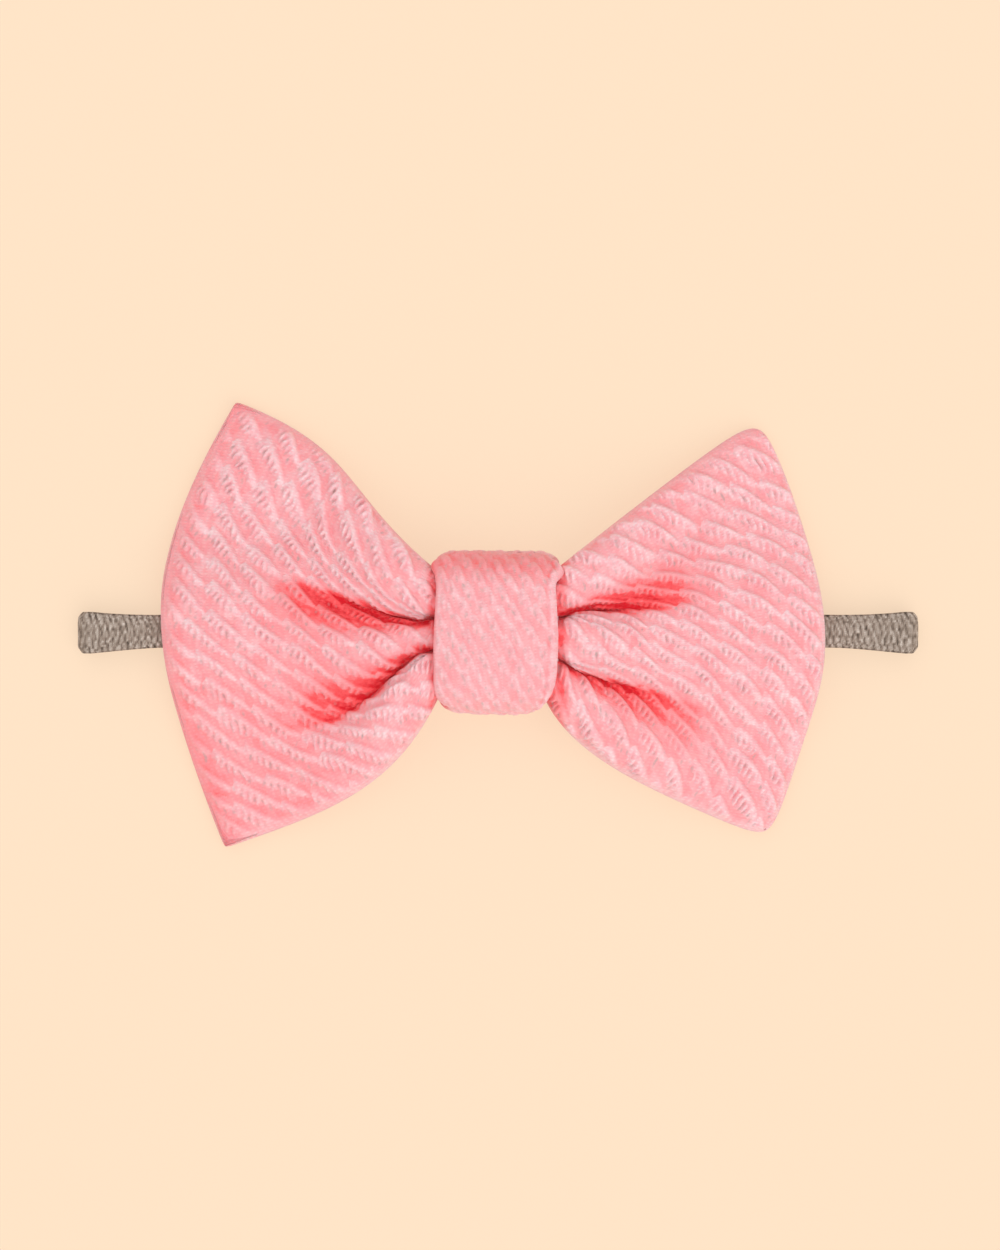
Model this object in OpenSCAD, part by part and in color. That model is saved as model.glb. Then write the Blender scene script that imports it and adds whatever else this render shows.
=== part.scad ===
// Bow headband: a pinched fabric bow on a thin, flat, knitted elastic loop.
// The headband lies flat with the front of the bow facing up. X runs along the band, Y runs up
// the bow and Z points out of its face. The origin is under the middle of the loop's back run.

/* [Band] */
// Length of the loop laid flat, from fold to fold
band_length = 144; // [132:1:156]
// Width of the flat knitted tube
band_width = 5.6; // [5:0.1:6.5]
// Thickness of the flattened tube
band_thick = 1.3; // [1.2:0.1:1.4]
// Width of the tube where it folds over at each end
fold_width = 7.1; // [6.5:0.1:8]
// Height from the middle of the back run to the middle of the front run
run_rise = 3.3; // [3.3:0.1:3.6]

/* [Bow] */
// Height of the seam at the knot end of a wing
nose_level = 9.5; // [9.3:0.1:9.8]
// Height of the outer seam where it crosses the band
crossing_level = 6.4; // [6.2:0.1:6.8]
// Height of the outer seam at the corners, which droop to the table
corner_level = 1.5; // [1.4:0.1:2.5]
// Thickness of one panel of the textured knit
cloth_thick = 1.2; // [1:0.1:1.4]
// Height of the puffed front panel above the seam
puff = 4.6; // [4:0.1:5]
// Depth of the two pleat valleys beside the knot
pleat_depth = 3.2; // [2:0.1:3.4]
// Length over which a wing swells out beside the knot, which leaves it room to fold up
nose_length = 5.2; // [5:0.1:6]

/* [Knot] */
// Width of the centre wrap along the band
wrap_width = 22; // [20:1:22]
// Height of the centre wrap up the bow
wrap_height = 28.4; // [28:0.2:30]
// Thickness of the folded strip in front and at the sides
wrap_thick = 2.2; // [2:0.1:2.3]
// Thickness of the strip behind, where it is pressed flat
wrap_back = 1.7; // [1.6:0.1:1.7]

/* [Hidden] */
$fn = 48;
slit = 0.3; // clearance between pieces that move past each other
seam_slit = 0.03; // gap between the two panels along the seam

// Levels in the stack, from the table up
back_z = band_thick / 2;
front_z = back_z + run_rise;
fold_z = (back_z + front_z) / 2;
wrap_low = front_z - band_thick / 2 - wrap_back;
band_top = front_z + band_thick / 2;
wrap_top = 17;
waist_z = (band_top + 0.5 + wrap_top - wrap_thick - 0.2) / 2;

// The loop opens into ten straight links of one length
fold_radius = run_rise / 2;
fold_x = band_length / 2 - fold_radius - band_thick / 2;
link = fold_x * 2 / 5;
knee_x = [link / 2, link * 3 / 2, fold_x];
stub = 2; // plain length of a link at each end of its elastic stretch
flare = 11; // length over which the tube widens towards its fold

// The wings' outlines: [knot end at the foot, knot end at the head], then the two middle control
// points of the foot, head and outer edges, and last the [foot, head] corners
nose_x = wrap_width / 2 + 0.7;
left_outline = [
    [[nose_x, -11.6], [nose_x, 11.8]],
    [[14.5, -22], [25, -31]],
    [[20, 16.5], [24, 31]],
    [[56.5, -15], [66, 12]],
    [[46.3, -36.9], [44.9, 39.1]]
];
right_outline = [
    [[nose_x, -11.8], [nose_x, 12.2]],
    [[11.9, -24.5], [26, -26]],
    [[21, 19.5], [31, 27]],
    [[56, -14], [60.5, 7]],
    [[46, -35.6], [45.6, 35.4]]
];
// Where the upper and lower pleat valleys lie across a wing, from -1 at the foot to 1 at the head
valleys = [0.23, -0.4];
valley_width = 0.17;
outer_puff = 2.6; // rise of the front panel beside the outer seam
shoulder = 1.4; // further rise of the front panel close to the knot
along = 16; // cells from the knot to the outer edge
across = 30; // cells from the foot to the head

thread = 0.3; // thickness of the sewing thread

function mix(a, b, k) = a + (b - a) * k;
function clamp(k) = max(0, min(1, k));
function smooth(k) = let (c = clamp(k)) c * c * (3 - 2 * c);
function bezier(a, b, c, d, k) =
    pow(1 - k, 3) * a + 3 * k * pow(1 - k, 2) * b + 3 * k * k * (1 - k) * c + pow(k, 3) * d;

// The four edges of a wing, and the patch that spans them: s runs from the knot to the outer
// edge, k from the foot to the head
function foot_edge(o, s) = bezier(o[0][0], o[1][0], o[1][1], o[4][0], s);
function head_edge(o, s) = bezier(o[0][1], o[2][0], o[2][1], o[4][1], s);
function outer_edge(o, k) = bezier(o[4][0], o[3][0], o[3][1], o[4][1], k);
function plan(o, s, k) =
    mix(foot_edge(o, s), head_edge(o, s), k)
    + mix(mix(o[0][0], o[0][1], k), outer_edge(o, k), s)
    - mix(mix(o[0][0], o[0][1], k), mix(o[4][0], o[4][1], k), s);

// Height of the seam between the panels, which hangs over the band and droops beside it
function seam_level(s, y) = mix(
    nose_level,
    corner_level + (crossing_level - corner_level) / (1 + pow(y / 13, 4)),
    smooth(s)
);
// A wing swells from nothing at the knot, and thins towards its outer, head and foot edges
function nose(x) = sin(90 * clamp((x - nose_x) / nose_length));
function pillow(s, t) = sqrt((1 - pow(s, 4)) * (1 - pow(t, 6)));
function valley(t, middle) = exp(-pow((t - middle) / valley_width, 2));
function front_rise(s, t) = pillow(s, t) * (
    mix(puff - cloth_thick, outer_puff, smooth(s))
    + shoulder * exp(-pow((s - 0.22) / 0.2, 2))
    - pleat_depth * (1 - smooth(s / 0.75)) * (valley(t, valleys[0]) + valley(t, valleys[1]))
);
function back_drop(s, t) =
    pillow(s, t) * (seam_level(s, 0) - band_top - cloth_thick - 1.3 * slit);

// A point of a wing on one of four levels: 0 and 1 are the back panel's outside and inside, 2
// and 3 the front panel's inside and outside
function wing_point(o, s, t, level) = let (
    p = plan(o, s, (t + 1) / 2),
    z = seam_level(s, p[1]),
    swell = nose(p[0])
) [p[0], p[1], level < 2
    ? z - seam_slit - swell * back_drop(s, t) - (level == 0 ? cloth_thick : 0)
    : z + seam_slit + swell * front_rise(s, t) + (level == 3 ? cloth_thick : 0)];

// A closed solid between two grids of points, each of rows by columns, seen from outside
module between(lower, upper, rows, columns) {
    n = rows * columns;
    cells = [for (i = [0 : rows - 2], j = [0 : columns - 2]) i * columns + j];
    rim = concat(
        [for (j = [0 : columns - 1]) j],
        [for (i = [1 : rows - 1]) i * columns + columns - 1],
        [for (j = [columns - 2 : -1 : 0]) (rows - 1) * columns + j],
        [for (i = [rows - 2 : -1 : 1]) i * columns]
    );
    polyhedron(
        points = concat(lower, upper),
        faces = concat(
            [for (c = cells) [c, c + columns, c + 1]],
            [for (c = cells) [c + 1, c + columns, c + columns + 1]],
            [for (c = cells) [c + n, c + n + 1, c + n + columns]],
            [for (c = cells) [c + n + 1, c + n + columns + 1, c + n + columns]],
            [for (i = [0 : len(rim) - 1]) let (a = rim[i], b = rim[(i + 1) % len(rim)])
                [a, b, b + n]],
            [for (i = [0 : len(rim) - 1]) let (a = rim[i], b = rim[(i + 1) % len(rim)])
                [a, b + n, a + n]]
        )
    );
}

// One panel of a wing, drawn on the right: levels 0 and 1 make the back, 2 and 3 the front
module panel(outline, low, high) {
    grids = [for (level = [low, high])
        [for (i = [0 : along], j = [0 : across])
            wing_point(outline, i / along, 2 * j / across - 1, level)]];
    between(grids[0], grids[1], along + 1, across + 1);
}

// A straight length of round thread between two points
module strand(a, b, width = thread) {
    v = b - a;
    translate(a)
        rotate([0, acos(v[2] / norm(v)), atan2(v[1], v[0])])
            cylinder(h = norm(v), d = width, $fn = 16);
}

// The lockstitches that join the panels, as a row of separate stitches inside the turned edge
module edge_seam(outline) {
    inset = 0.07;
    route = concat(
        [for (s = [0.2 : 0.07 : 0.9]) [s, 2 * inset - 1]],
        [for (t = [2 * inset - 1 : 0.075 : 1 - 2 * inset]) [1 - inset, t]],
        [for (s = [0.9 : -0.07 : 0.2]) [s, 1 - 2 * inset]]
    );
    points = [for (r = route)
        let (low = wing_point(outline, r[0], r[1], 1), high = wing_point(outline, r[0], r[1], 2))
            (low + high) / 2];
    for (i = [0 : len(points) - 2]) {
        a = points[i];
        b = points[i + 1];
        strand(mix(a, b, 0.06), mix(a, b, 0.94));
    }
}

// The pinched middle of both panels: an oval under the thread that fans out into pleats
module bow_waist() {
    stations = 24;
    points_round = 72;
    half = wrap_width / 2 + 0.2;
    function fan(x) = smooth((abs(x) - 2.6) / 6.5);
    function groove(y, x) =
        1.6 * fan(x) * (exp(-pow((y - 2.4) / 1.1, 2)) + exp(-pow((y + 3.9) / 1.1, 2)));
    function ring(x) = [for (i = [0 : points_round - 1]) let (
        a = 360 * i / points_round,
        y = mix(8.6, 11.5, fan(x)) * cos(a),
        z = mix(4.3, 4.7, fan(x)) * pow(abs(sin(a)), mix(1, 0.6, fan(x))) * sign(sin(a))
    ) [x, y, waist_z + z - sign(z) * min(abs(z), groove(y, x))]];
    rings = [for (i = [0 : stations]) ring(mix(-half, half, i / stations))];
    n = points_round;
    color("lightpink") polyhedron(
        points = [for (r = rings) each r],
        faces = concat(
            [[for (i = [n - 1 : -1 : 0]) i]],
            [[for (i = [0 : n - 1]) stations * n + i]],
            [for (k = [0 : stations - 1], i = [0 : n - 1])
                [k * n + i, k * n + (i + 1) % n, (k + 1) * n + (i + 1) % n]],
            [for (k = [0 : stations - 1], i = [0 : n - 1])
                [k * n + i, (k + 1) * n + (i + 1) % n, (k + 1) * n + i]]
        )
    );
}

// Eight turns of thread, pulled tight around the waist
module gathering_thread() {
    turns = 8;
    pitch = 0.55;
    wire = 0.42;
    bend = 4.6;
    reach = 4.3;
    color("pink") for (i = [0 : turns - 1])
        translate([(i - (turns - 1) / 2) * pitch, 0, waist_z]) {
            for (side = [-1, 1]) {
                translate([0, side * reach, 0])
                    rotate([0, 90, 0])
                        rotate([0, 0, side * 90 - 90])
                            rotate_extrude(angle = 180)
                                translate([bend, 0]) circle(d = wire, $fn = 16);
                translate([0, -reach, side * bend])
                    rotate([-90, 0, 0])
                        cylinder(h = 2 * reach, d = wire, $fn = 16);
            }
        }
}

module rounded_slab(width, low, high, low_r, high_r) {
    square_half = width / 2;
    for (side = [-1, 1]) {
        translate([side * (square_half - high_r), high - high_r]) circle(high_r);
        translate([side * (square_half - low_r), low + low_r]) circle(low_r);
    }
    translate([high_r - square_half, low + low_r]) square([width - 2 * high_r, high - low - low_r]);
    translate([low_r - square_half, low]) square([width - 2 * low_r, high - low - high_r]);
    translate([-square_half, low + low_r]) square([width, high - low - low_r - high_r]);
}

// Stands a drawing of the YZ plane up and runs it along X, from a to b
module run_along(a, b) {
    translate([a, 0, 0]) rotate([90, 0, 90]) linear_extrude(b - a) children();
}

// The folded strip that goes round the waist and the band
module centre_wrap() {
    color("lightpink") run_along(-wrap_width / 2, wrap_width / 2) difference() {
        rounded_slab(wrap_height, wrap_low, wrap_top, 5, 7);
        rounded_slab(
            wrap_height - 2 * wrap_thick, wrap_low + wrap_back, wrap_top - wrap_thick,
            5 - wrap_back, 7 - wrap_thick
        );
    }
}

// Whip stitches that close the wrap's tail behind, below the band
module wrap_stitches() {
    count = 7;
    seam_y = -7.5;
    width = 0.34;
    z = wrap_low - width / 2 - 0.01;
    color("pink") for (i = [0 : count - 1]) {
        x = mix(-8.6, 7.4, i / (count - 1));
        strand([x, seam_y - 1, z], [x + 1.2, seam_y + 1, z], width);
    }
}

// Two dabs of hot-melt glue between the band and the waist
module adhesive_dabs() {
    color("ivory") for (side = [-1, 1])
        translate([side * 6.3, 0, band_top]) cylinder(h = 0.42, d = 4.6);
}

// A flat tube seen end on, centred at height z
module tube_section(width, z) {
    translate([-(width - band_thick) / 2, z - band_thick / 2])
        square([width - band_thick, band_thick]);
    for (side = [-1, 1])
        translate([side * (width - band_thick) / 2, z]) circle(d = band_thick, $fn = 32);
}

module band_run(a, b, z) {
    color("rosybrown") run_along(a, b) tube_section(band_width, z);
}

// The outer link of a run, which widens towards the fold, drawn on the right
module outer_link(z) {
    start = knee_x[1] + slit;
    color("rosybrown") {
        run_along(start, fold_x - flare) tube_section(band_width, z);
        hull() {
            run_along(fold_x - flare, fold_x - flare + 0.1) tube_section(band_width, z);
            run_along(fold_x - 0.1, fold_x) tube_section(fold_width, z);
        }
    }
}

// The half turn at the end of the loop, drawn on the right
module fold() {
    color("rosybrown") translate([fold_x, 0, fold_z]) rotate([90, 0, 0]) rotate([0, 0, -90])
        rotate_extrude(angle = 180) {
            translate([fold_radius - band_thick / 2, -(fold_width - band_thick) / 2])
                square([band_thick, fold_width - band_thick]);
            for (side = [-1, 1])
                translate([fold_radius, side * (fold_width - band_thick) / 2])
                    circle(d = band_thick, $fn = 32);
        }
}

// The inner link of a run on the right: a plain stub, an elastic length and a plain knee
module inner_link(part, z) {
    ends = [knee_x[0] + slit, knee_x[0] + stub, knee_x[1] - stub, knee_x[1] - slit];
    if (part == "stub") band_run(ends[0], ends[1], z);
    if (part == "elastic") band_run(ends[1], ends[2], z);
    if (part == "knee") band_run(ends[2], ends[3], z);
}

// Zigzag stitches over the butt where the two ends of the tube meet
module band_join_stitches() {
    count = 6;
    width = 0.24;
    z = band_top + width / 2 + 0.01;
    color("dimgray") for (i = [0 : count - 1]) {
        y = mix(-2.2, 1.8, i / (count - 1));
        side = i % 2 == 0 ? 1 : -1;
        strand([-1.3 * side, y, z], [1.3 * side, y + 0.3, z], width);
    }
}

module mirrored(left) {
    mirror([left ? 1 : 0, 0, 0]) children();
}

color("lightpink") mirrored(true) panel(left_outline, 2, 3);  // bow_front_left
color("lightpink") panel(right_outline, 2, 3);  // bow_front_right
color("lightpink") mirrored(true) panel(left_outline, 0, 1);  // bow_back_left
color("lightpink") panel(right_outline, 0, 1);  // bow_back_right
color("pink") mirrored(true) edge_seam(left_outline);  // edge_seam_left
color("pink") edge_seam(right_outline);  // edge_seam_right
bow_waist();
gathering_thread();
centre_wrap();
wrap_stitches();
adhesive_dabs();
band_join_stitches();
band_run(-knee_x[0] + slit, -seam_slit, front_z);  // band_left_end
band_run(seam_slit, knee_x[0] - slit, front_z);  // band_right_end
band_run(-knee_x[0] + slit, knee_x[0] - slit, back_z);  // band_back_centre
for (left = [true, false]) {
    side = left ? "band_left_" : "band_right_";
    for (part = ["stub", "elastic", "knee"]) {
        mirrored(left) inner_link(part, front_z);
        mirrored(left) inner_link(part, back_z);
    }
    mirrored(left) outer_link(front_z);
    mirrored(left) outer_link(back_z);
    mirrored(left) fold();
}
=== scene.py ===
"""Looks of the bow headband: a pinched bow of textured knit on a thin knitted elastic loop.

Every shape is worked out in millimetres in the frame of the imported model, as whole numpy arrays,
and is put into a mesh in metres. X runs along the band, Y up the bow and Z out of its face.
"""

import logging
import math
from dataclasses import dataclass, field
from enum import Enum

import bpy
import numpy as np
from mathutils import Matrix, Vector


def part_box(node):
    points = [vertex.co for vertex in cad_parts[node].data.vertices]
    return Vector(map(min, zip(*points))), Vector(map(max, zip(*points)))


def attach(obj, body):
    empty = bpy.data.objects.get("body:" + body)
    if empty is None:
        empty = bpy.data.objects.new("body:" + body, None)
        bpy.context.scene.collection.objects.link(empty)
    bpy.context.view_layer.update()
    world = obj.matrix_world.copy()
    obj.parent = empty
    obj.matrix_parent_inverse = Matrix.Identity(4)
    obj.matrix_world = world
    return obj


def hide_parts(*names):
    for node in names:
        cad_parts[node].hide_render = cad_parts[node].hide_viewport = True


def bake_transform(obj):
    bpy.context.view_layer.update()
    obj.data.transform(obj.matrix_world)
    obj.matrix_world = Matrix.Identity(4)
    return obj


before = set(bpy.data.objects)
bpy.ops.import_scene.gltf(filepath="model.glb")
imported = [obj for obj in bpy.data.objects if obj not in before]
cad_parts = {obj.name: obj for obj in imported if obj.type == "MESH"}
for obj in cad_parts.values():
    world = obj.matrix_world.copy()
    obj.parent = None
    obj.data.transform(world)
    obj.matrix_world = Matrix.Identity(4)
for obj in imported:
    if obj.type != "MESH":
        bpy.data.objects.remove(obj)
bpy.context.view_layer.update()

MM = 0.001
KNOT_EDGE = 10.7  # distance from the middle of the bow to the side edges of the wrap
LOG = logging.getLogger("headband")
Array = np.ndarray
Colour = tuple[float, float, float]
Point = tuple[float, float, float]
Pairs = tuple[tuple[float, float], ...]


class Side(Enum):
    """Which half of the headband a piece belongs to, as the sign of its X."""

    LEFT = -1
    RIGHT = 1

    @property
    def word(self) -> str:
        """The name of the side as the frame's nodes and bodies have it."""
        return self.name.lower()


class Face(Enum):
    """Which of the two panels of a wing a piece is, as the sign of its outward Z."""

    FRONT = 1
    BACK = -1


class Run(Enum):
    """Which of the two runs of the flattened loop a length of band lies in."""

    FRONT = "front"
    BACK = "back"


# ---------------------------------------------------------------------------------------------
# Arithmetic shared by the shapes
# ---------------------------------------------------------------------------------------------


def node_box(node: str) -> tuple[Array, Array]:
    """Lowest and highest corner of a CAD node, in millimetres."""
    low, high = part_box(node)
    return np.array(low) / MM, np.array(high) / MM


def mix(a: Array | float, b: Array | float, k: Array | float) -> Array | float:
    """a where k is 0, b where k is 1, and on the straight line between them elsewhere."""
    return a + (b - a) * k


def smooth(k: Array | float) -> Array:
    """0 below 0, 1 above 1, and the cubic 3k^2 - 2k^3 between."""
    c = np.clip(k, 0.0, 1.0)
    return c * c * (3.0 - 2.0 * c)


def bump(x: Array | float, middle: float, width: float) -> Array:
    """A bell, exp(-((x - middle) / width)^2)."""
    return np.exp(-(((x - middle) / width) ** 2))


def scatter(*keys: Array | float) -> Array:
    """A repeatable scattered value from 0 to 1 for each set of whole-number keys.

    Args:
        keys: Arrays of whole numbers, one for each direction of a pattern.

    Returns:
        The fractional part of a large multiple of the sine of a weighted sum of the keys.
    """
    weights = (12.9898, 78.233, 37.719)
    total = sum(np.asarray(key, float) * weight for key, weight in zip(keys, weights))
    value = np.sin(total) * 43758.5453
    return value - np.floor(value)


def ripple(x: Array, y: Array, lengths: tuple[float, ...], seed: int) -> Array:
    """Soft uneven waves, from about -1 to 1.

    Args:
        x: First coordinate.
        y: Second coordinate.
        lengths: Wave length of each wave, in the coordinates' unit.
        seed: Picks the directions and phases.

    Returns:
        The mean of one sine wave per length, each along its own direction.
    """
    rng = np.random.default_rng(seed)
    total = np.zeros(np.broadcast(x, y).shape)
    for length in lengths:
        angle, phase = rng.uniform(0, 2 * math.pi, 2)
        total += np.sin(2 * math.pi * (x * math.cos(angle) + y * math.sin(angle)) / length + phase)
    return total / math.sqrt(len(lengths))


def bezier(points: Array, k: Array) -> Array:
    """Points of a cubic Bezier curve.

    Args:
        points: The four control points, one to a row.
        k: Places along the curve, from 0 to 1, in an array of any shape.

    Returns:
        The points (1-k)^3 A + 3 k (1-k)^2 B + 3 k^2 (1-k) C + k^3 D, in a last axis.
    """
    k = k[..., None]
    a, b, c, d = points
    return (1 - k) ** 3 * a + 3 * k * (1 - k) ** 2 * b + 3 * k * k * (1 - k) * c + k**3 * d


def stacked(*axes: Array | float) -> Array:
    """Coordinates that spread to one shape, side by side in a last axis."""
    return np.stack(np.broadcast_arrays(*axes), axis=-1)


def round_angles(count: int) -> Array:
    """Angles of evenly spaced points round a section, in one row."""
    return np.linspace(0, 2 * math.pi, count, endpoint=False)[None, :]


def grid_normals(points: Array, outward: Array) -> Array:
    """Unit normals of a surface on a grid, by the cross product of its two slopes.

    Args:
        points: Grid of points, rows by columns by 3.
        outward: A direction, or one for each point, that the normals should lean towards.

    Returns:
        Unit normals, in the shape of points.
    """
    along = np.gradient(points, axis=0)
    across = np.gradient(points, axis=1)
    normal = np.cross(along, across)
    normal /= np.linalg.norm(normal, axis=2, keepdims=True) + 1e-12
    lean = np.sum(normal * outward, axis=2).mean()
    return normal if lean >= 0 else -normal


def grid_quads(rows: int, columns: int, first: int = 0, close_rows: bool = False,
               close_columns: bool = False) -> Array:
    """The four corners of each cell of a grid whose points are numbered row by row.

    Args:
        rows: Rows of points.
        columns: Columns of points.
        first: Number of the grid's first point.
        close_rows: Joins the last row to the first.
        close_columns: Joins the last column to the first.

    Returns:
        One row of four point numbers per cell, going round it.
    """
    i = np.arange(rows if close_rows else rows - 1)[:, None]
    j = np.arange(columns if close_columns else columns - 1)[None, :]
    i_next, j_next = (i + 1) % rows, (j + 1) % columns
    corners = (i * columns + j, i_next * columns + j, i_next * columns + j_next, i * columns + j_next)
    return np.stack([np.broadcast_to(c, (i.size, j.size)).ravel() for c in corners], axis=1) + first


# ---------------------------------------------------------------------------------------------
# Meshes
# ---------------------------------------------------------------------------------------------


@dataclass
class Skin:
    """A surface on its way into a mesh.

    Attributes:
        points: Corners in millimetres, one to a row.
        quads: Corner numbers of each face, four to a face, or three where a cap or rim needs them.
        cloth: Place of each corner on the flat cloth, in millimetres.
        deep: Painted shade at each corner, from 0 to 1, in folds and grooves, where the cloth turns away
            from the light and beside other parts, with the band's random yarn specks added.
        gap: How open the knit is at each corner, from 0 to 1.
    """

    points: Array
    quads: Array | list[list[int]]
    cloth: Array
    deep: Array
    gap: Array

    def make(self, name: str, material: bpy.types.Material) -> bpy.types.Object:
        """Puts the surface into a mesh object at the origin.

        Args:
            name: The piece's name.
            material: Its finish.

        Returns:
            The new object, linked to the scene.
        """
        mesh = bpy.data.meshes.new(name)
        mesh.from_pydata(self.points * MM, [], self.quads)
        loops = np.empty(len(mesh.loops), np.int32)
        mesh.loops.foreach_get("vertex_index", loops)
        layer = mesh.uv_layers.new(name="cloth")
        layer.uv.foreach_set("vector", (self.cloth[loops] / 10).astype(np.float32).ravel())
        # The painted shade, with any specks, and the openness go into the mesh as point attributes.
        for word, values in (("deep", self.deep), ("gap", self.gap)):
            attribute = mesh.attributes.new(word, "FLOAT", "POINT")
            attribute.data.foreach_set("value", values.astype(np.float32).ravel())
        mesh.shade_smooth()
        mesh.materials.append(material)
        mesh.validate()
        piece = bpy.data.objects.new(name, mesh)
        bpy.context.scene.collection.objects.link(piece)
        return piece


def inside_out(points: Array, walls: Array, away: Array) -> bool:
    """Whether walls face inwards: the sum of their normals times the way out is below zero.

    Args:
        points: Corners, one to a row.
        walls: Four corner numbers to a row.
        away: For each corner, the direction that the walls round it should face.

    Returns:
        True where the walls have to be turned round.
    """
    a, b, c = (points[walls[:, n]] for n in (0, 1, 2))
    return bool(np.sum(np.cross(b - a, c - b) * away[walls[:, 0]]) < 0)


def stitched(fine: Array, coarse: Array, step: int) -> list[list[int]]:
    """Triangles between a fine loop of points and a coarse one.

    Args:
        fine: Point numbers of the fine loop, whose first point faces the coarse loop's first.
        coarse: Point numbers of the coarse loop, one for each step of the fine loop.
        step: Fine points to a coarse one.

    Returns:
        The triangles, all going round the same way.
    """
    ahead = np.roll(coarse, -1)
    groups = []
    for n in range(step):
        a = fine[n::step]
        b = np.roll(fine, -1)[n::step]
        near = coarse if n < step // 2 else ahead
        groups.append(np.stack([b, a, near], axis=1))
    groups.append(np.stack([fine[step // 2 :: step], coarse, ahead], axis=1))
    return np.concatenate(groups).tolist()


def loop_round(numbers: Array) -> Array:
    """Point numbers round the border of a grid, starting from its first corner."""
    return np.concatenate([numbers[0, :], numbers[1:, -1], numbers[-1, -2::-1], numbers[-2:0:-1, 0]])


def shell(outer: Array, inner: Array, cloth: Array, deep: Array, gap: Array, step: int = 4) -> Skin:
    """A closed sheet between a finely made outer grid and a plain inner one, with a rim all round.

    Args:
        outer: Grid of points of the outer face, rows by columns by 3, each a multiple of step
            plus one.
        inner: Grid of points of the inner face, of the same shape, of which each step-th is used.
        cloth: Place of each point on the flat cloth, rows by columns by 2.
        deep: Painted shade and specks, rows by columns.
        gap: Openness of the knit, rows by columns.
        step: Outer cells to an inner one.

    Returns:
        The surface, with its faces pointing out of the cloth.
    """
    rows, columns = outer.shape[:2]
    number = np.arange(rows * columns).reshape(rows, columns)
    coarse = inner[::step, ::step]
    few = np.arange(coarse.shape[0] * coarse.shape[1]).reshape(coarse.shape[:2]) + number.size
    front = grid_quads(rows, columns)
    back = grid_quads(*coarse.shape[:2], first=number.size)[:, ::-1]
    faces = front.tolist() + back.tolist() + stitched(loop_round(number), loop_round(few), step)
    parts = [(outer, coarse)] + [(a, a[::step, ::step]) for a in (cloth, deep[..., None], gap[..., None])]
    points, cloth, deep, gap = (
        np.concatenate([fine.reshape(-1, fine.shape[-1]), thin.reshape(-1, thin.shape[-1])])
        for fine, thin in parts
    )
    if inside_out(points, front, (outer - inner).reshape(-1, 3)):
        faces = [face[::-1] for face in faces]
    return Skin(points, faces, cloth, deep.ravel(), gap.ravel())


def tube(rings: Array, cloth: Array, deep: Array, gap: Array) -> Skin:
    """A closed tube through rings of points, with a cap on each end.

    Args:
        rings: Rings by points of a ring by 3.
        cloth: Place of each point on the flat cloth, rings by points by 2.
        deep: Painted shade and specks, rings by points.
        gap: Openness of the knit, rings by points.

    Returns:
        The surface, with its faces pointing out of the tube.
    """
    rows, columns = rings.shape[:2]
    count = rows * columns
    walls = grid_quads(rows, columns, close_columns=True)
    around = np.arange(columns)
    onward = (around + 1) % columns
    caps = []
    for first, middle in ((0, count), (count - columns, count + 1)):
        fan = np.stack([around + first, onward + first, np.full(columns, middle)], axis=1)
        caps.append(fan if first == 0 else fan[:, ::-1])
    points = np.concatenate([rings.reshape(-1, 3), rings[[0, -1]].mean(axis=1)])
    away = (rings - rings.mean(axis=1, keepdims=True)).reshape(-1, 3)
    turn = -1 if inside_out(points, walls, away) else 1
    return Skin(
        points=points,
        quads=[face for group in (walls, *caps) for face in group[:, ::turn].tolist()],
        cloth=np.concatenate([cloth.reshape(-1, 2), cloth[[0, -1]].mean(axis=1)]),
        # The middle of each cap gets half the painted shade.
        deep=np.concatenate([deep.ravel(), [0.5, 0.5]]),
        gap=np.concatenate([gap.ravel(), [0.0, 0.0]]),
    )


def joined(skins: list[Skin]) -> Skin:
    """Several surfaces as one, each still its own closed solid.

    Args:
        skins: The surfaces, in order.

    Returns:
        One surface that holds them all.
    """
    starts = np.cumsum([0, *[len(s.points) for s in skins[:-1]]])
    faces = [[n + int(start) for n in face] for s, start in zip(skins, starts) for face in s.quads]
    return Skin(
        points=np.concatenate([s.points for s in skins]),
        quads=faces,
        cloth=np.concatenate([s.cloth for s in skins]),
        deep=np.concatenate([s.deep for s in skins]),
        gap=np.concatenate([s.gap for s in skins]),
    )


def declare(piece: bpy.types.Object, nodes: tuple[str, ...], bodies: tuple[str, ...],
            start: Point = (0, 0, 0), end: Point = (0, 0, 0)) -> None:
    """Hides the CAD nodes that a piece replaces, and hangs the piece on its body, or bakes its place into
    its mesh when it is given two bodies.

    Args:
        piece: The finished piece.
        nodes: CAD nodes that it replaces.
        bodies: The body it rides on, or the two between which it lies, in which case it is hung on neither.
        start: Where the bend starts, in millimetres; not used.
        end: Where the bend ends, in millimetres; not used.
    """
    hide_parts(*nodes)
    if len(bodies) == 1:
        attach(piece, bodies[0])
    else:
        start, end = (tuple(c * MM for c in point) for point in (start, end))
        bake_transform(piece)
    LOG.info("%s: %d faces", piece.name, len(piece.data.polygons))


def dress_node(node: str, material: bpy.types.Material) -> None:
    """Gives a carried-over CAD node its finish.

    Args:
        node: The node's name.
        material: Its finish.
    """
    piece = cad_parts[node]
    piece.data.materials.clear()
    piece.data.materials.append(material)
    LOG.info("%s: dressed", node)


# ---------------------------------------------------------------------------------------------
# Finishes
# ---------------------------------------------------------------------------------------------


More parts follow.
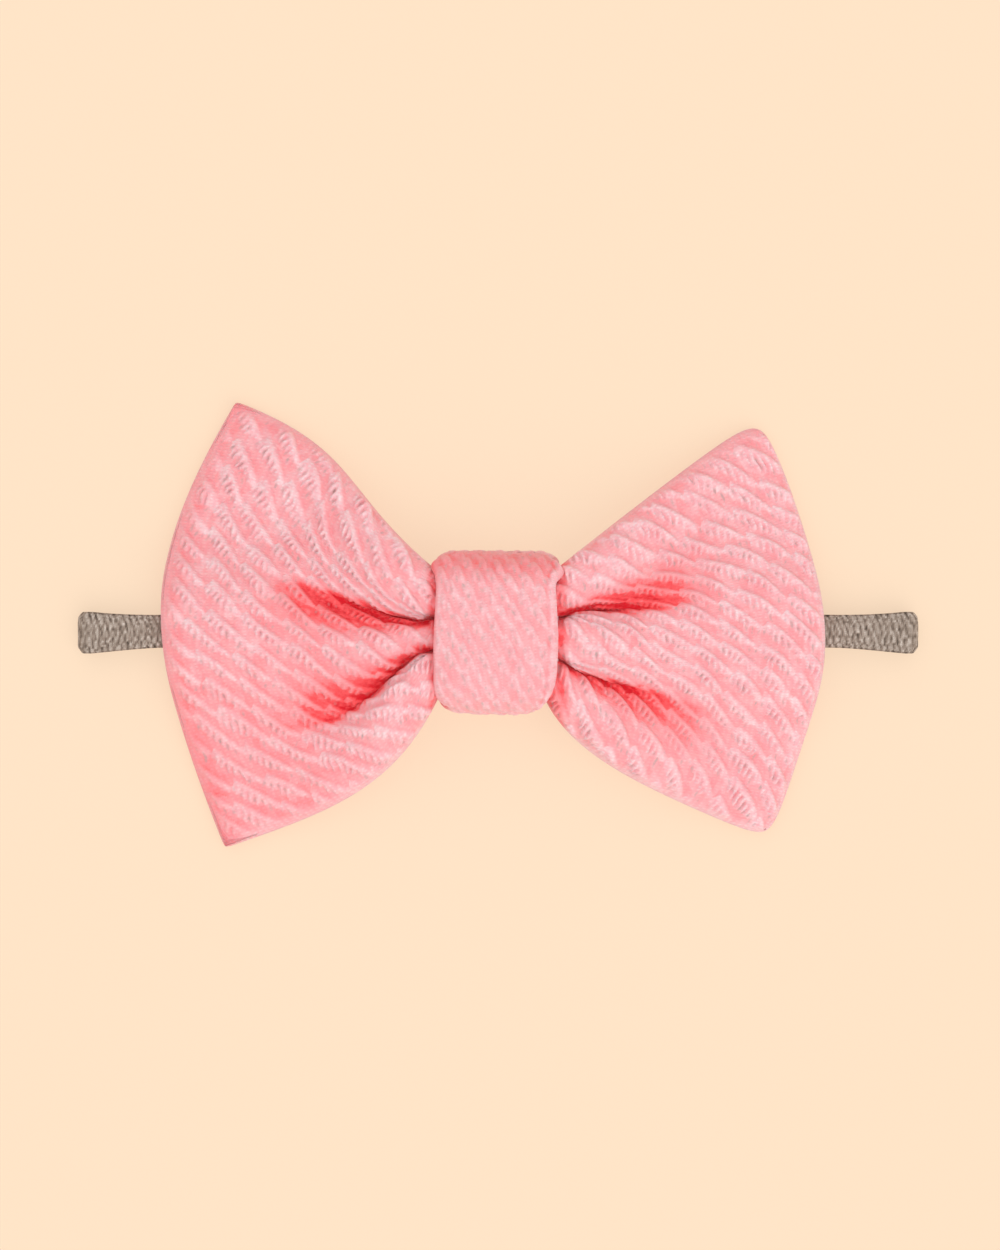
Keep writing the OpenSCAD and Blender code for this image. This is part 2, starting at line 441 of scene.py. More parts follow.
class Nodes:
    """The nodes of one material, added one at a time and wired by name."""

    SHEEN_ROUGHNESS = 0.45
    SPECULAR_LEVEL = 0.25

    def __init__(self, name: str) -> None:
        """Starts a material with a bare Principled shader.

        Args:
            name: The material's name.
        """
        self.material = bpy.data.materials.new(name)
        self.material.use_nodes = True
        self.tree = self.material.node_tree
        self.tree.nodes.clear()
        self.shader = self.add("ShaderNodeBsdfPrincipled")
        output = self.add("ShaderNodeOutputMaterial")
        self.tree.links.new(self.shader.outputs["BSDF"], output.inputs["Surface"])

    def add(self, kind: str, inputs: dict[str | int, object] | None = None,
            **settings: object) -> bpy.types.Node:
        """Adds a node.

        Args:
            kind: The node's type.
            inputs: Input name or number to a value, or to the output that feeds it.
            settings: Properties of the node itself.

        Returns:
            The new node.
        """
        node = self.tree.nodes.new(kind)
        for key, value in settings.items():
            setattr(node, key, value)
        for key, value in (inputs or {}).items():
            self.feed(node.inputs[key], value)
        return node

    def feed(self, socket: bpy.types.NodeSocket, value: object) -> None:
        """Links an output to a socket, or sets the socket's own value.

        Args:
            socket: The input to feed.
            value: An output, a number, or a colour or direction of three numbers.
        """
        if isinstance(value, bpy.types.NodeSocket):
            self.tree.links.new(value, socket)
        elif isinstance(value, tuple) and len(value) == 3 and socket.type == "RGBA":
            socket.default_value = (*value, 1.0)
        else:
            socket.default_value = value

    def blend(self, share: object, a: object, b: object) -> bpy.types.NodeSocket:
        """A colour that goes from one to another.

        Args:
            share: Share of the second colour, from 0 to 1.
            a: The first colour.
            b: The second colour.

        Returns:
            The blended colour.
        """
        node = self.add("ShaderNodeMix", data_type="RGBA")
        self.feed(node.inputs["Factor"], share)
        self.feed(node.inputs["A"], a)
        self.feed(node.inputs["B"], b)
        return node.outputs["Result"]

    def sum(self, operation: str, a: object, b: object = 0.0, c: object = 0.5) -> bpy.types.NodeSocket:
        """The result of one arithmetic operation on two or three numbers."""
        return self.add("ShaderNodeMath", {0: a, 1: b, 2: c}, operation=operation).outputs[0]

    def off(self, value: object, middle: float, strength: float) -> bpy.types.NodeSocket:
        """How far a value lies above its middle, times a strength."""
        return self.sum("MULTIPLY", self.sum("SUBTRACT", value, middle), strength)

    def between(self, value: object, low: float, high: float) -> bpy.types.NodeSocket:
        """A value from 0 to 1 spread over the range from low to high."""
        node = self.add("ShaderNodeMapRange", {"Value": value, "To Min": low, "To Max": high})
        return node.outputs[0]

    def clamped(self, value: object) -> bpy.types.NodeSocket:
        """The value kept from 0 to 1."""
        return self.add("ShaderNodeClamp", {"Value": value}).outputs[0]

    def noise(self, place: object, scale: float, detail: float = 3.0) -> bpy.types.NodeSocket:
        """Soft noise from 0 to 1 at a place."""
        inputs = {"Vector": place, "Scale": scale, "Detail": detail, "Roughness": 0.6}
        return self.add("ShaderNodeTexNoise", inputs).outputs["Fac"]

    def cloth(self) -> bpy.types.NodeSocket:
        """Place on the flat cloth, in centimetres, from the piece's own UV map."""
        return self.add("ShaderNodeUVMap", uv_map="cloth").outputs["UV"]

    def value(self, word: str) -> bpy.types.NodeSocket:
        """A value that the mesh carries at each of its points."""
        return self.add("ShaderNodeAttribute", attribute_name=word).outputs["Fac"]

    def waves(self, place: object, along: Point, pitch: float, wander: float) -> bpy.types.NodeSocket:
        """Stripes from 0 to 1.

        Args:
            place: The coordinate, in centimetres of cloth.
            along: Direction across the stripes.
            pitch: Distance from stripe to stripe, in millimetres.
            wander: How far the stripes stray, in millimetres.

        Returns:
            Half of one plus the sine of the distance along the direction.
        """
        across = self.add("ShaderNodeVectorMath", {0: place, 1: along}, operation="DOT_PRODUCT")
        stray = self.sum("MULTIPLY", self.noise(place, 9.0, 1.0), wander / 10)
        turns = self.sum("MULTIPLY", self.sum("ADD", across.outputs["Value"], stray), 20 * math.pi / pitch)
        return self.sum("MULTIPLY_ADD", self.sum("SINE", turns), 0.5)

    def finish(self, colour: object, rough: object, height: object, depth: float,
               sheen: float = 0.0) -> bpy.types.Material:
        """Sets the shader's colour, roughness, relief and sheen.

        Args:
            colour: Base colour.
            rough: Roughness.
            height: Height of the fine relief, from 0 to 1.
            depth: Depth of that relief, in millimetres.
            sheen: Weight of the soft sheen of fibres.

        Returns:
            The finished material.
        """
        relief = self.add("ShaderNodeBump", {"Height": height, "Distance": depth * MM, "Strength": 1.0})
        self.feed(self.shader.inputs["Base Color"], colour)
        self.feed(self.shader.inputs["Roughness"], rough)
        self.feed(self.shader.inputs["Normal"], relief.outputs["Normal"])
        self.shader.inputs["Sheen Weight"].default_value = sheen
        self.shader.inputs["Sheen Roughness"].default_value = self.SHEEN_ROUGHNESS
        self.shader.inputs["Specular IOR Level"].default_value = self.SPECULAR_LEVEL
        return self.material


@dataclass(frozen=True)
class KnitFinish:
    """A soft spun yarn, knitted.

    Attributes:
        name: The material's name.
        yarn: Colour of the yarn.
        pale: Colour of the yarn in its paler specks and patches, and a painted highlight on the tops of its
            loops.
        shaded: Painted shade in a groove or fold, reddened as light passed from yarn to yarn would redden
            it.
        deepest_shade: Painted shade at the bottom of a fold.
        opening: Colour seen through the open places of the knit.
        loop: Size of one loop, in millimetres across and along the wale.
        sheen: Weight of the sheen of its fibres.
        bleed: Share of the light that passes through the yarn, which reddens the folds.
        bleed_reach: How far that light travels, in millimetres.
        bleed_tint: How far each colour of it travels, as a share of that.
        patches: Broad patches of light and dark to a centimetre.
        mottling: Small specks of light and dark to a centimetre.
        fibres: Fibres to a centimetre.
        contrast: How strongly the mottle shows between the yarn's colour and its pale one.
        darkness: What is taken off the mottle, so that the plain yarn shows more.
        relief: Depth of the loops and fibres, in millimetres.
    """

    name: str
    yarn: Colour
    pale: Colour
    shaded: Colour
    deepest_shade: Colour
    opening: Colour
    loop: tuple[float, float]
    sheen: float = 0.25
    bleed: float = 0.0
    bleed_reach: float = 1.2
    bleed_tint: Colour = (1.0, 0.25, 0.25)
    patches: float = 2.2
    mottling: float = 9.0
    fibres: float = 60.0
    contrast: float = 2.5
    darkness: float = 0.92
    relief: float = 0.09

    def material(self) -> bpy.types.Material:
        """The yarn's colours, with shade painted by depth and the openings' colour by openness, over a fine
        relief of loops and fibres.

        Returns:
            The finished material.
        """
        nodes = Nodes(self.name)
        cloth = nodes.cloth()
        broad = nodes.noise(cloth, self.patches, 2.0)
        mottle = nodes.noise(cloth, self.mottling, 3.0)
        fibre = nodes.noise(cloth, self.fibres, 2.0)
        wales = nodes.waves(cloth, (1.0, 0.12, 0.0), self.loop[0], 0.35)
        courses = nodes.waves(cloth, (-0.15, 1.0, 0.0), self.loop[1], 0.35)
        loops = nodes.sum("MULTIPLY", wales, courses)
        # The pale colour shows in random specks and patches, and as a painted highlight on the tops of the
        # loops.
        light = nodes.sum("MULTIPLY_ADD", mottle, self.contrast, -self.darkness)
        light = nodes.sum("ADD", light, nodes.off(broad, 0.5, 0.9))
        light = nodes.sum("ADD", light, nodes.off(loops, 0.3, 0.35))
        colour = nodes.blend(nodes.clamped(light), self.yarn, self.pale)
        # Painted shade: the mesh's painted-shade value, made uneven by the mottle, turns the yarn to the
        # shaded colour in grooves and folds, and darker still at their bottoms.
        uneven = nodes.off(mottle, 0.5, 0.9)
        deep = nodes.value("deep")
        deep = nodes.sum("ADD", deep, nodes.sum("MULTIPLY", uneven, nodes.sum("ADD", deep, 0.25)))
        half = nodes.sum("MULTIPLY", deep, 2.0)
        colour = nodes.blend(nodes.clamped(half), colour, self.shaded)
        colour = nodes.blend(nodes.clamped(nodes.sum("SUBTRACT", half, 1.0)), colour, self.deepest_shade)
        colour = nodes.blend(nodes.value("gap"), colour, self.opening)
        height = nodes.sum("ADD", nodes.sum("MULTIPLY", loops, 0.7), nodes.sum("MULTIPLY", fibre, 0.5))
        rough = nodes.between(fibre, 0.75, 0.98)
        nodes.shader.inputs["Subsurface Weight"].default_value = self.bleed
        nodes.shader.inputs["Subsurface Scale"].default_value = self.bleed_reach * MM
        nodes.shader.inputs["Subsurface Radius"].default_value = self.bleed_tint
        return nodes.finish(colour, rough, height, self.relief, self.sheen)


@dataclass(frozen=True)
class ThreadFinish:
    """A twisted sewing thread.

    Attributes:
        name: The material's name.
        strand: Colour of the strands.
        shade: Colour between the strands.
    """

    name: str
    strand: Colour
    shade: Colour

    def material(self) -> bpy.types.Material:
        """Slanting strands over the thread, in object coordinates, with a slight gloss.

        Returns:
            The finished material.
        """
        nodes = Nodes(self.name)
        place = nodes.add("ShaderNodeTexCoord").outputs["Object"]
        scaled = nodes.add("ShaderNodeVectorMath", {0: place, 1: (100.0,) * 3}, operation="MULTIPLY")
        place = scaled.outputs[0]  # in centimetres, as waves takes it
        strands = nodes.waves(place, (1.0, 0.7, 0.6), 0.22, 0.05)
        colour = nodes.blend(strands, self.shade, self.strand)
        rough = nodes.between(nodes.noise(place, 40.0), 0.45, 0.7)
        return nodes.finish(colour, rough, strands, 0.04, 0.15)


@dataclass(frozen=True)
class GlueFinish:
    """Hot-melt adhesive, cloudy and slightly glossy.

    Attributes:
        name: The material's name.
        clear: Colour where it is clear.
        cloudy: Colour where it is cloudy.
    """

    name: str = "hot_melt_glue"
    clear: Colour = (0.86, 0.82, 0.70)
    cloudy: Colour = (0.93, 0.90, 0.82)

    def material(self) -> bpy.types.Material:
        """A cloudy colour with the soft ripples of set glue.

        Returns:
            The finished material.
        """
        nodes = Nodes(self.name)
        place = nodes.add("ShaderNodeTexCoord").outputs["Object"]
        cloud = nodes.noise(place, 400.0)
        colour = nodes.blend(cloud, self.clear, self.cloudy)
        nodes.shader.inputs["Subsurface Weight"].default_value = 0.3
        nodes.shader.inputs["Subsurface Scale"].default_value = 0.001
        return nodes.finish(colour, nodes.between(cloud, 0.3, 0.45), cloud, 0.15)


@dataclass(frozen=True)
class PaperFinish:
    """The plain pale surface that the headband lies on, lit in part from below.

    Attributes:
        name: The material's name.
        colour: Its colour.
        glow: Share of its brightness that comes through it, which softens the shadow.
        paleness: How much of the light that falls on it the rest gives back.
    """

    name: str = "pale_paper"
    colour: Colour = (1.0, 0.772, 0.568)
    glow: float = 0.7
    paleness: float = 0.93

    def material(self) -> bpy.types.Material:
        """An even matt colour with the faintest tooth, and an even glow of the same colour.

        Returns:
            The finished material.
        """
        nodes = Nodes(self.name)
        place = nodes.add("ShaderNodeTexCoord").outputs["Object"]
        tooth = nodes.noise(place, 900.0, 2.0)
        share = (1.0 - self.glow) * self.paleness
        tint = nodes.blend(tooth, *(tuple(c * k * share for c in self.colour) for k in (1.0, 0.995)))
        nodes.feed(nodes.shader.inputs["Emission Color"], self.colour)
        nodes.shader.inputs["Emission Strength"].default_value = self.glow
        return nodes.finish(tint, nodes.between(tooth, 0.9, 0.95), tooth, 0.01)


# The shaded and darkest colours of each knit below are painted shade for its grooves and folds.
BOW_KNIT = KnitFinish(
    name="bow_textured_knit", yarn=(0.92, 0.455, 0.495), pale=(0.985, 0.775, 0.80),
    shaded=(1.0, 0.115, 0.125), deepest_shade=(0.72, 0.008, 0.02), opening=(0.58, 0.37, 0.365),
    loop=(1.0, 0.62), sheen=0.3, bleed=0.22,
)
WRAP_KNIT = KnitFinish(
    name="wrap_fine_knit", yarn=(0.92, 0.43, 0.465), pale=(0.97, 0.68, 0.71),
    shaded=(0.95, 0.15, 0.16), deepest_shade=(0.50, 0.012, 0.02), opening=(0.66, 0.425, 0.42),
    loop=(0.9, 0.55), sheen=0.35, bleed=0.1,
)
BAND_KNIT = KnitFinish(
    name="band_nylon_knit", yarn=(0.45, 0.37, 0.315), pale=(0.80, 0.715, 0.645),
    shaded=(0.30, 0.23, 0.185), deepest_shade=(0.075, 0.055, 0.042), opening=(0.06, 0.044, 0.034),
    loop=(0.55, 0.35), sheen=0.1,
)
PINK_THREAD = ThreadFinish(name="pink_thread", strand=(0.93, 0.42, 0.46), shade=(0.80, 0.27, 0.31))
GREY_THREAD = ThreadFinish(name="grey_thread", strand=(0.16, 0.13, 0.115), shade=(0.05, 0.04, 0.035))


# ---------------------------------------------------------------------------------------------
# The studio
# ---------------------------------------------------------------------------------------------


@dataclass(frozen=True)
class Sun:
    """A soft light so far off that it falls evenly on the whole floor.

    Attributes:
        name: The light's name.
        place: The direction that it comes from.
        spread: How wide it looks from the floor, in degrees.
        power: Its strength, in watts to a square metre.
        colour: Its colour.
    """

    name: str
    place: Point
    spread: float
    power: float
    colour: Colour

    def build(self) -> None:
        """Hangs the light and turns it towards the middle of the floor."""
        data = bpy.data.lights.new(self.name, "SUN")
        data.angle = math.radians(self.spread)
        data.energy = self.power
        data.color = self.colour
        light = bpy.data.objects.new(self.name, data)
        light.location = self.place
        away = np.array(self.place) / np.linalg.norm(self.place)
        light.rotation_euler = (math.acos(away[2]), 0.0, math.atan2(away[0], -away[1]))
        bpy.context.scene.collection.objects.link(light)


@dataclass
class Studio:
    """A pale floor, soft light and a camera that looks straight down.

    Attributes:
        view_height: Height of the picture on the floor, in millimetres.
        lens: Focal length, in millimetres.
        sensor: Long side of the sensor, in millimetres.
        aim: Point that the camera looks at, in millimetres.
        floor_side: Side of the floor, in millimetres.
        floor_points: Points along a side of the floor.
        suns: A key light from the lower right and a light overhead.
        sky_colour: Colour of the even sky.
        sky_power: Its strength.
    """

    view_height: float = 215.3
    lens: float = 100.0
    sensor: float = 36.0
    aim: tuple[float, float] = (0.35, 1.2)
    floor_side: float = 6000.0
    floor_points: int = 9
    suns: tuple[Sun, ...] = (
        Sun(name="key", place=(0.62, -0.80, 1.25), spread=62.0, power=1.05, colour=(1.0, 0.985, 0.965)),
        Sun(name="overhead", place=(-0.25, 0.30, 1.0), spread=80.0, power=0.62, colour=(1.0, 0.995, 0.985)),
    )
    sky_colour: Colour = (1.0, 0.985, 0.97)
    sky_power: float = 0.66

    def build(self) -> None:
        """Makes the camera, the floor and the lights."""
        self.make_camera()
        self.make_floor()
        self.make_lights()
        bpy.context.scene.view_settings.view_transform = "Standard"

    def make_camera(self) -> None:
        """A camera whose upright picture takes in view_height at the floor."""
        data = bpy.data.cameras.new("camera")
        data.lens = self.lens
        data.sensor_width = self.sensor
        camera = bpy.data.objects.new("camera", data)
        distance = self.view_height * self.lens / self.sensor
        camera.location = (self.aim[0] * MM, self.aim[1] * MM, distance * MM)
        bpy.context.scene.collection.objects.link(camera)
        bpy.context.scene.camera = camera

    def make_floor(self) -> None:
        """A square sheet of paper just under the headband."""
        side = np.linspace(-self.floor_side / 2, self.floor_side / 2, self.floor_points)
        x, y = np.meshgrid(side, side, indexing="ij")
        points = stacked(x, y, 0.0).reshape(-1, 3)
        blank = np.zeros(len(points))
        skin = Skin(points, grid_quads(side.size, side.size), points[:, :2], blank, blank)
        skin.make("floor", PaperFinish().material())

    def make_lights(self) -> None:
        """Hangs the suns and lights the even sky."""
        for sun in self.suns:
            sun.build()
        world = bpy.data.worlds.new("sky")
        world.use_nodes = True
        sky = world.node_tree.nodes["Background"]
        sky.inputs["Color"].default_value = (*self.sky_colour, 1.0)
        sky.inputs["Strength"].default_value = self.sky_power
        bpy.context.scene.world = world


# ---------------------------------------------------------------------------------------------
# The knits
# ---------------------------------------------------------------------------------------------


@dataclass(frozen=True)
class BulletKnit:
    """A double knit with slanting rows of long raised pads, from whose tops loops hang like teeth.

    Attributes:
        slant: Angle of the rows on the flat cloth, in degrees.
        row_pitch: Distance from row to row.
        pad_length: Distance from pad to pad along a row.
        wale: Distance from one column of loops to the next.
        rise: Height of a pad over the grooves.
        lean: How far the teeth lean to the right for each millimetre up.
        parting: How far the height falls off between one pad and the next, from 0 to 1.
        openness: Share of the cuts between the teeth that show an opening.
        crest: Where the top edge of a pad lies, from the row's foot, 0, to its head, 1.
        tip: Where the longest teeth end, on the same scale.
        darkness: Strength of the openings.
    """

    slant: float = -37.0
    row_pitch: float = 3.9
    pad_length: float = 8.8
    wale: float = 1.02
    rise: float = 0.74
    lean: float = 0.3
    parting: float = 0.9
    openness: float = 0.62
    crest: float = 0.66
    tip: float = -0.03
    darkness: float = 0.72

    def relief(self, x: Array, y: Array) -> tuple[Array, Array, Array]:
        """Height of the cloth, where shade is painted in its grooves, and its openings.

        The place along a row is q = x cos a + y sin a and across the rows p = -x sin a + y cos a,
        both bent by soft waves. Row k holds p / pitch from k to k + 1, and pad m of that row holds
        q / length from m to m + 1. Across a row the cloth rises slowly from the row below to the
        pad's top edge and drops off it at once. A comb of period wale in x cuts the slow side, and
        the cuts stop short of the top edge.

        Args:
            x: Place across the flat cloth, in millimetres.
            y: Place up the flat cloth, in millimetres.

        Returns:
            Height in millimetres, painted shade in the grooves from 0 to 1, and openness from 0 to 1.
        """
        angle = math.radians(self.slant)
        stray = ripple(x, y, (21.0, 13.0, 8.5), 5)
        q = x * math.cos(angle) + y * math.sin(angle) + 0.5 * ripple(x, y, (17.0, 11.0), 8)
        p = -x * math.sin(angle) + y * math.cos(angle) + 0.34 * stray
        across = p / self.row_pitch
        row = np.floor(across)
        f = across - row
        along = q / self.pad_length + 0.5 * row + 0.5 * (scatter(row, 3.0) - 0.5)
        pad = np.floor(along)
        e = along - pad
        belly = np.sin(math.pi * np.clip(e, 0, 1)) ** 0.8
        grade = (0.78 + 0.44 * scatter(row, pad)) * mix(1.0 - self.parting, 1.0, belly)
        top = self.crest + 0.10 * belly + 0.30 * (0.5 - e) + 0.18 * (scatter(pad, row, 2.0) - 0.5)

        column_stray = 0.10 * ripple(x, y, (4.3, 2.9), 21) + 0.12 * np.sin(2 * math.pi * y / 5.3)
        lean = self.lean * (f - 0.5) * self.row_pitch
        turn = (x - lean + column_stray) / self.wale + 0.5 * np.mod(row, 2)
        comb = (0.5 - 0.5 * np.cos(2 * math.pi * turn)) ** 1.3
        column = np.floor(turn)
        tip = self.tip + 0.20 * scatter(column, row, 5.0) + 0.22 * (1 - belly)
        drop = 1.0 - smooth((f - top + 0.04) / 0.24)
        tooth = smooth((f - tip) / 0.36) * drop
        ridge = smooth((f - (top - 0.34)) / 0.28) * drop
        body = mix(tooth, ridge, comb) * grade

        cut = comb * smooth((f - tip) / 0.2) * (1.0 - smooth((f - (top - 0.2)) / 0.15))
        # The groove value is where shade is painted: the valleys between pads, the cuts between the teeth,
        # and under each pad's top edge.
        valley = 1.0 - smooth(np.clip(tooth, 0, 1) / 0.7)
        groove = valley * (0.50 + 0.50 * scatter(column, row, 9.0)) + 0.45 * cut * belly
        groove = groove + 0.30 * bump(f, top + 0.12, 0.11) * belly
        opening = 0.0
        for place, width, key in ((0.30, 0.07, 7.0), (0.45, 0.09, 11.0)):
            chance = smooth((scatter(column, row, key) - (1.0 - self.openness)) / 0.6)
            shift = 0.16 * (scatter(column, row, key + 1) - 0.5)
            opening = opening + chance * bump(f, top - place + shift, width)
        opening = opening * smooth((comb - 0.40) / 0.45)
        return self.rise * body, np.clip(groove, 0, 1), np.clip(self.darkness * opening, 0, 1)


# ---------------------------------------------------------------------------------------------
# The bow
# ---------------------------------------------------------------------------------------------


@dataclass
class Pleat:
    """A fold that starts under the knot and dies away towards the outer edge.

    Attributes:
        course: Control points of its line, each a distance out and a height up the bow.
        depth: Its depth at the knot.
        reach: Distance from the knot at which it has died away.
        lap: Side on which the cloth laps over it, 1 for above and -1 for below.
        steep: Width of its steep side at the knot.
        gentle: Width of its gentle side at the knot.
        spread: How fast its gentle side widens as it leaves the knot.
        tint: How strongly shade is painted on its gentle side.
        knot_edge: Distance from the middle of the bow at which it starts.
        pressed_reach: Distance from the knot up to which it is pressed shut.
    """

    course: Pairs
    depth: float
    reach: float
    lap: int
    steep: float = 0.6
    gentle: float = 1.7
    spread: float = 0.17
    tint: float = 0.6
    knot_edge: float = KNOT_EDGE
    pressed_reach: float = 7.0

    def line(self, out: Array) -> Array:
        """Height of the fold's line, which goes on straight before and after its course.

        Args:
            out: Distance out from the middle of the bow.

        Returns:
            Height up the bow.
        """
        drawn = bezier(np.array(self.course, float), np.linspace(0, 1, 200))
        start, end = self.course[0], self.course[-1]
        before = (out < start[0]) * (out - start[0]) * 0.2
        slope = (self.course[3][1] - self.course[2][1]) / (self.course[3][0] - self.course[2][0])
        after = np.clip(out - end[0], 0, None) * slope
        return np.interp(out, drawn[:, 0], drawn[:, 1]) + before + after

    def fade(self, out: Array) -> Array:
        """1 at the knot, falling smoothly to 0 at the fold's reach."""
        return 1.0 - smooth((out - self.knot_edge) / self.reach)

    def off_line(self, out: Array, y: Array) -> tuple[Array, Array]:
        """Distance from the line, positive on the lapping side, and distance out from the knot."""
        return (y - self.line(out)) * self.lap, np.clip(out - self.knot_edge, 0, None)

    def sink(self, out: Array, y: Array) -> Array:
        """How far the cloth sinks into the fold.

        The sink falls off from the line as exp(-(sqrt(d^2 + r^2) - r) / w). The width w is small
        on the lapping side, where the cloth drops in steeply, and large on the other. Close to
        the knot the fold is pressed shut, and sinks only half as far.

        Args:
            out: Distance out from the middle of the bow.
            y: Height up the bow.

        Returns:
            Depth in millimetres.
        """
        d, far = self.off_line(out, y)
        width = np.where(d > 0, self.steep + 0.05 * far, self.gentle + self.spread * far)
        round_off = 0.16 + 0.07 * far
        fall = np.exp(-(np.sqrt(d * d + round_off**2) - round_off) / width)
        pressed = mix(0.5, 1.0, smooth(far / self.pressed_reach))
        return self.depth * self.fade(out) * pressed * fall

    def flush(self, out: Array, y: Array) -> Array:
        """How much shade is painted on the cloth in the fold, from 0 to 1.

        The painted shade reaches over the whole gentle side, as exp(-|d / w|^2.2), and stops at once on the
        lapping side. A narrow dark core of painted shade runs along the line near the knot.

        Args:
            out: Distance out from the middle of the bow.
            y: Height up the bow.

        Returns:
            The share of red painted shade.
        """
        d, far = self.off_line(out, y)
        width = np.where(d > 0, 0.7 + 0.03 * far, 1.1 + 1.5 * self.spread * far)
        fade = 1.0 - smooth((far - 0.4 * self.reach) / (0.6 * self.reach))
        spread = np.exp(-((np.abs(d) / width) ** 2.2)) * fade
        core = bump(d, -0.25, 0.65 + 0.07 * far) * (1.0 - smooth((far - 7.0) / 12.0))
        return np.clip(self.tint * spread + 0.50 * core, 0, 1)

    def still(self, out: Array, y: Array) -> Array:
        """Where the cloth is pressed together and shows no relief, from 0 to 1."""
        d, far = self.off_line(out, y)
        return bump(d, 0.2, 0.9 + 0.04 * far) * self.fade(out)

    def overlap(self, out: Array, y: Array) -> Array:
        """How far the lapping side is drawn over the fold, up the bow, in millimetres."""
        d, far = self.off_line(out, y)
        return -self.lap * 0.95 * self.fade(out) * bump(d, 1.0, 1.0) * smooth(far / 2.5)


@dataclass
class Wing:
    """One half of the bow: two panels sewn together, turned and pinched at the knot.

    Attributes:
        side: Left or right.
        knot_end: Lower and upper point where the wing goes into the knot.
        foot: Middle control points of the lower edge.
        head: Middle control points of the upper edge.
        outer: Middle control points of the outer edge.
        corners: Lower and upper corner.
        corner_power: How sharp the corners are: a low power rounds them.
        pleats: The folds of the front, upper first.
        ridges: Where the crests between the folds lie, from -1 at the foot to 1 at the head.
        knit: Texture of the cloth.
        rows: Rows of points of the front panel, from the knot out.
        columns: Its columns of points, from the foot to the head.
        back_rows: Rows of points of the back panel.
        back_columns: Its columns of points.
        thickness: Thickness of one panel.
        cloth_half_length: Half the flat cloth's length, along the bow.
        cloth_half_width: Half its width, up the bow.
        nose_level: Height of the seam over the table at the knot.
        crossing_level: Height of the seam where it crosses the band.
        crossing_width: Half the height of the bow over which the seam arches there.
        corner_level: Height of the seam at the corners.
        knot_rise: How far the front panel swells over the seam beside the knot.
        edge_rise: How far it swells over the seam near the outer edge.
        shoulder_rise: How much further it swells a little way out from the knot.
        gather_rise: Height of the small gathers beside the knot.
        flex: Distances out from the middle between which the cloth bends when the wing flexes.
        fold_limit: Deepest that the two folds may sink together.
        back_level: Height of the middle of the back panel over the table, just over the band.
        back_relief: Share of the knit's height that shows behind.
        spans: Rough length of a panel from the knot out, and half its height.
        rim: Width of the rim over which the knit rises to its full height.
        pressed_flat: Share of the knit's height and openings that a fold takes away.
        groove_shade: How much shade is painted in the grooves of the knit.
        rim_shade: How much shade is painted on the rim.
        fold_shade_levels: Painted shade of a fold on the pads, what a groove adds, and its least.
    """

    side: Side
    knot_end: Pairs
    foot: Pairs
    head: Pairs
    outer: Pairs
    corners: Pairs
    corner_power: float
    pleats: tuple[Pleat, Pleat]
    ridges: tuple[float, float, float] = (0.66, -0.08, -0.72)
    knit: BulletKnit = field(default_factory=BulletKnit)
    rows: int = 301
    columns: int = 297
    back_rows: int = 161
    back_columns: int = 225
    thickness: float = 0.9
    cloth_half_length: float = 56.0
    cloth_half_width: float = 38.5
    nose_level: float = 9.5
    crossing_level: float = 6.4
    crossing_width: float = 13.0
    corner_level: float = 1.5
    knot_rise: float = 4.5
    edge_rise: float = 3.4
    shoulder_rise: float = 1.5
    gather_rise: float = 0.16
    flex: tuple[float, float] = (9.0, 16.0)
    fold_limit: float = 4.8
    back_level: float = 5.2
    back_relief: float = 0.6
    spans: tuple[float, float] = (44.0, 34.0)
    rim: float = 1.5
    pressed_flat: float = 0.8
    groove_shade: float = 0.215
    rim_shade: float = 0.05
    fold_shade_levels: tuple[float, float, float] = (0.74, 0.90, 0.64)

    def grid(self, face: Face) -> tuple[Array, Array]:
        """Places on a panel: a grid of rows and columns that is finer in front than behind.

        Args:
            face: Front or back panel.

        Returns:
            Place s from the knot, 0, to the outer edge, 1, and t from the foot, -1, to the head, 1.
        """
        fine = face is Face.FRONT
        ease = np.linspace(0, 1, self.rows if fine else self.back_rows)
        s = ease + 0.055 * np.sin(2 * math.pi * ease) / math.pi
        turn = np.linspace(-1, 1, self.columns if fine else self.back_columns)
        t = turn + 0.06 * np.sin(math.pi * turn) / math.pi
        return np.meshgrid(s, t, indexing="ij")

    def plan(self, s: Array, t: Array) -> tuple[Array, Array]:
        """Place of each point seen from the front.

        The four edges are cubic curves. The patch between them is the sum of the two rulings
        between opposite edges less the bilinear patch of the corners. Near a corner both s and t
        are drawn back by c |s t|^p with c = 1 / (2 p + 1), which rounds it.

        Args:
            s: Place from the knot, 0, to the outer edge, 1.
            t: Place from the foot, -1, to the head, 1.

        Returns:
            Distance out from the middle of the bow and height up it, in millimetres.
        """
        draw = np.abs(s * t) ** self.corner_power / (2 * self.corner_power + 1)
        s, k = s * (1 - draw), (t * (1 - draw) + 1) / 2
        knot, foot, head, outer, corner = (
            np.array(p, float) for p in (self.knot_end, self.foot, self.head, self.outer, self.corners)
        )
        low = bezier(np.array([knot[0], foot[0], foot[1], corner[0]]), s)
        high = bezier(np.array([knot[1], head[0], head[1], corner[1]]), s)
        far = bezier(np.array([corner[0], outer[0], outer[1], corner[1]]), k)
        near = mix(knot[0], knot[1], k[..., None])
        s, k = s[..., None], k[..., None]
        flat = mix(low, high, k) + mix(near, far, s) - mix(near, mix(corner[0], corner[1], k), s)
        return flat[..., 0], flat[..., 1]

    def seam(self, s: Array, y: Array) -> Array:
        """Height of the seam between the panels, which arches over the band and droops beside it."""
        arch = (self.crossing_level - self.corner_level) / (1 + (y / self.crossing_width) ** 4)
        return mix(self.nose_level, self.corner_level + arch, smooth(s))

    @staticmethod
    def pillow(s: Array, t: Array) -> Array:
        """1 over most of a panel, falling to 0 at the seam as sqrt((1 - s^9)(1 - t^10))."""
        return np.sqrt(np.clip((1 - s**9) * (1 - t**10), 0, 1))

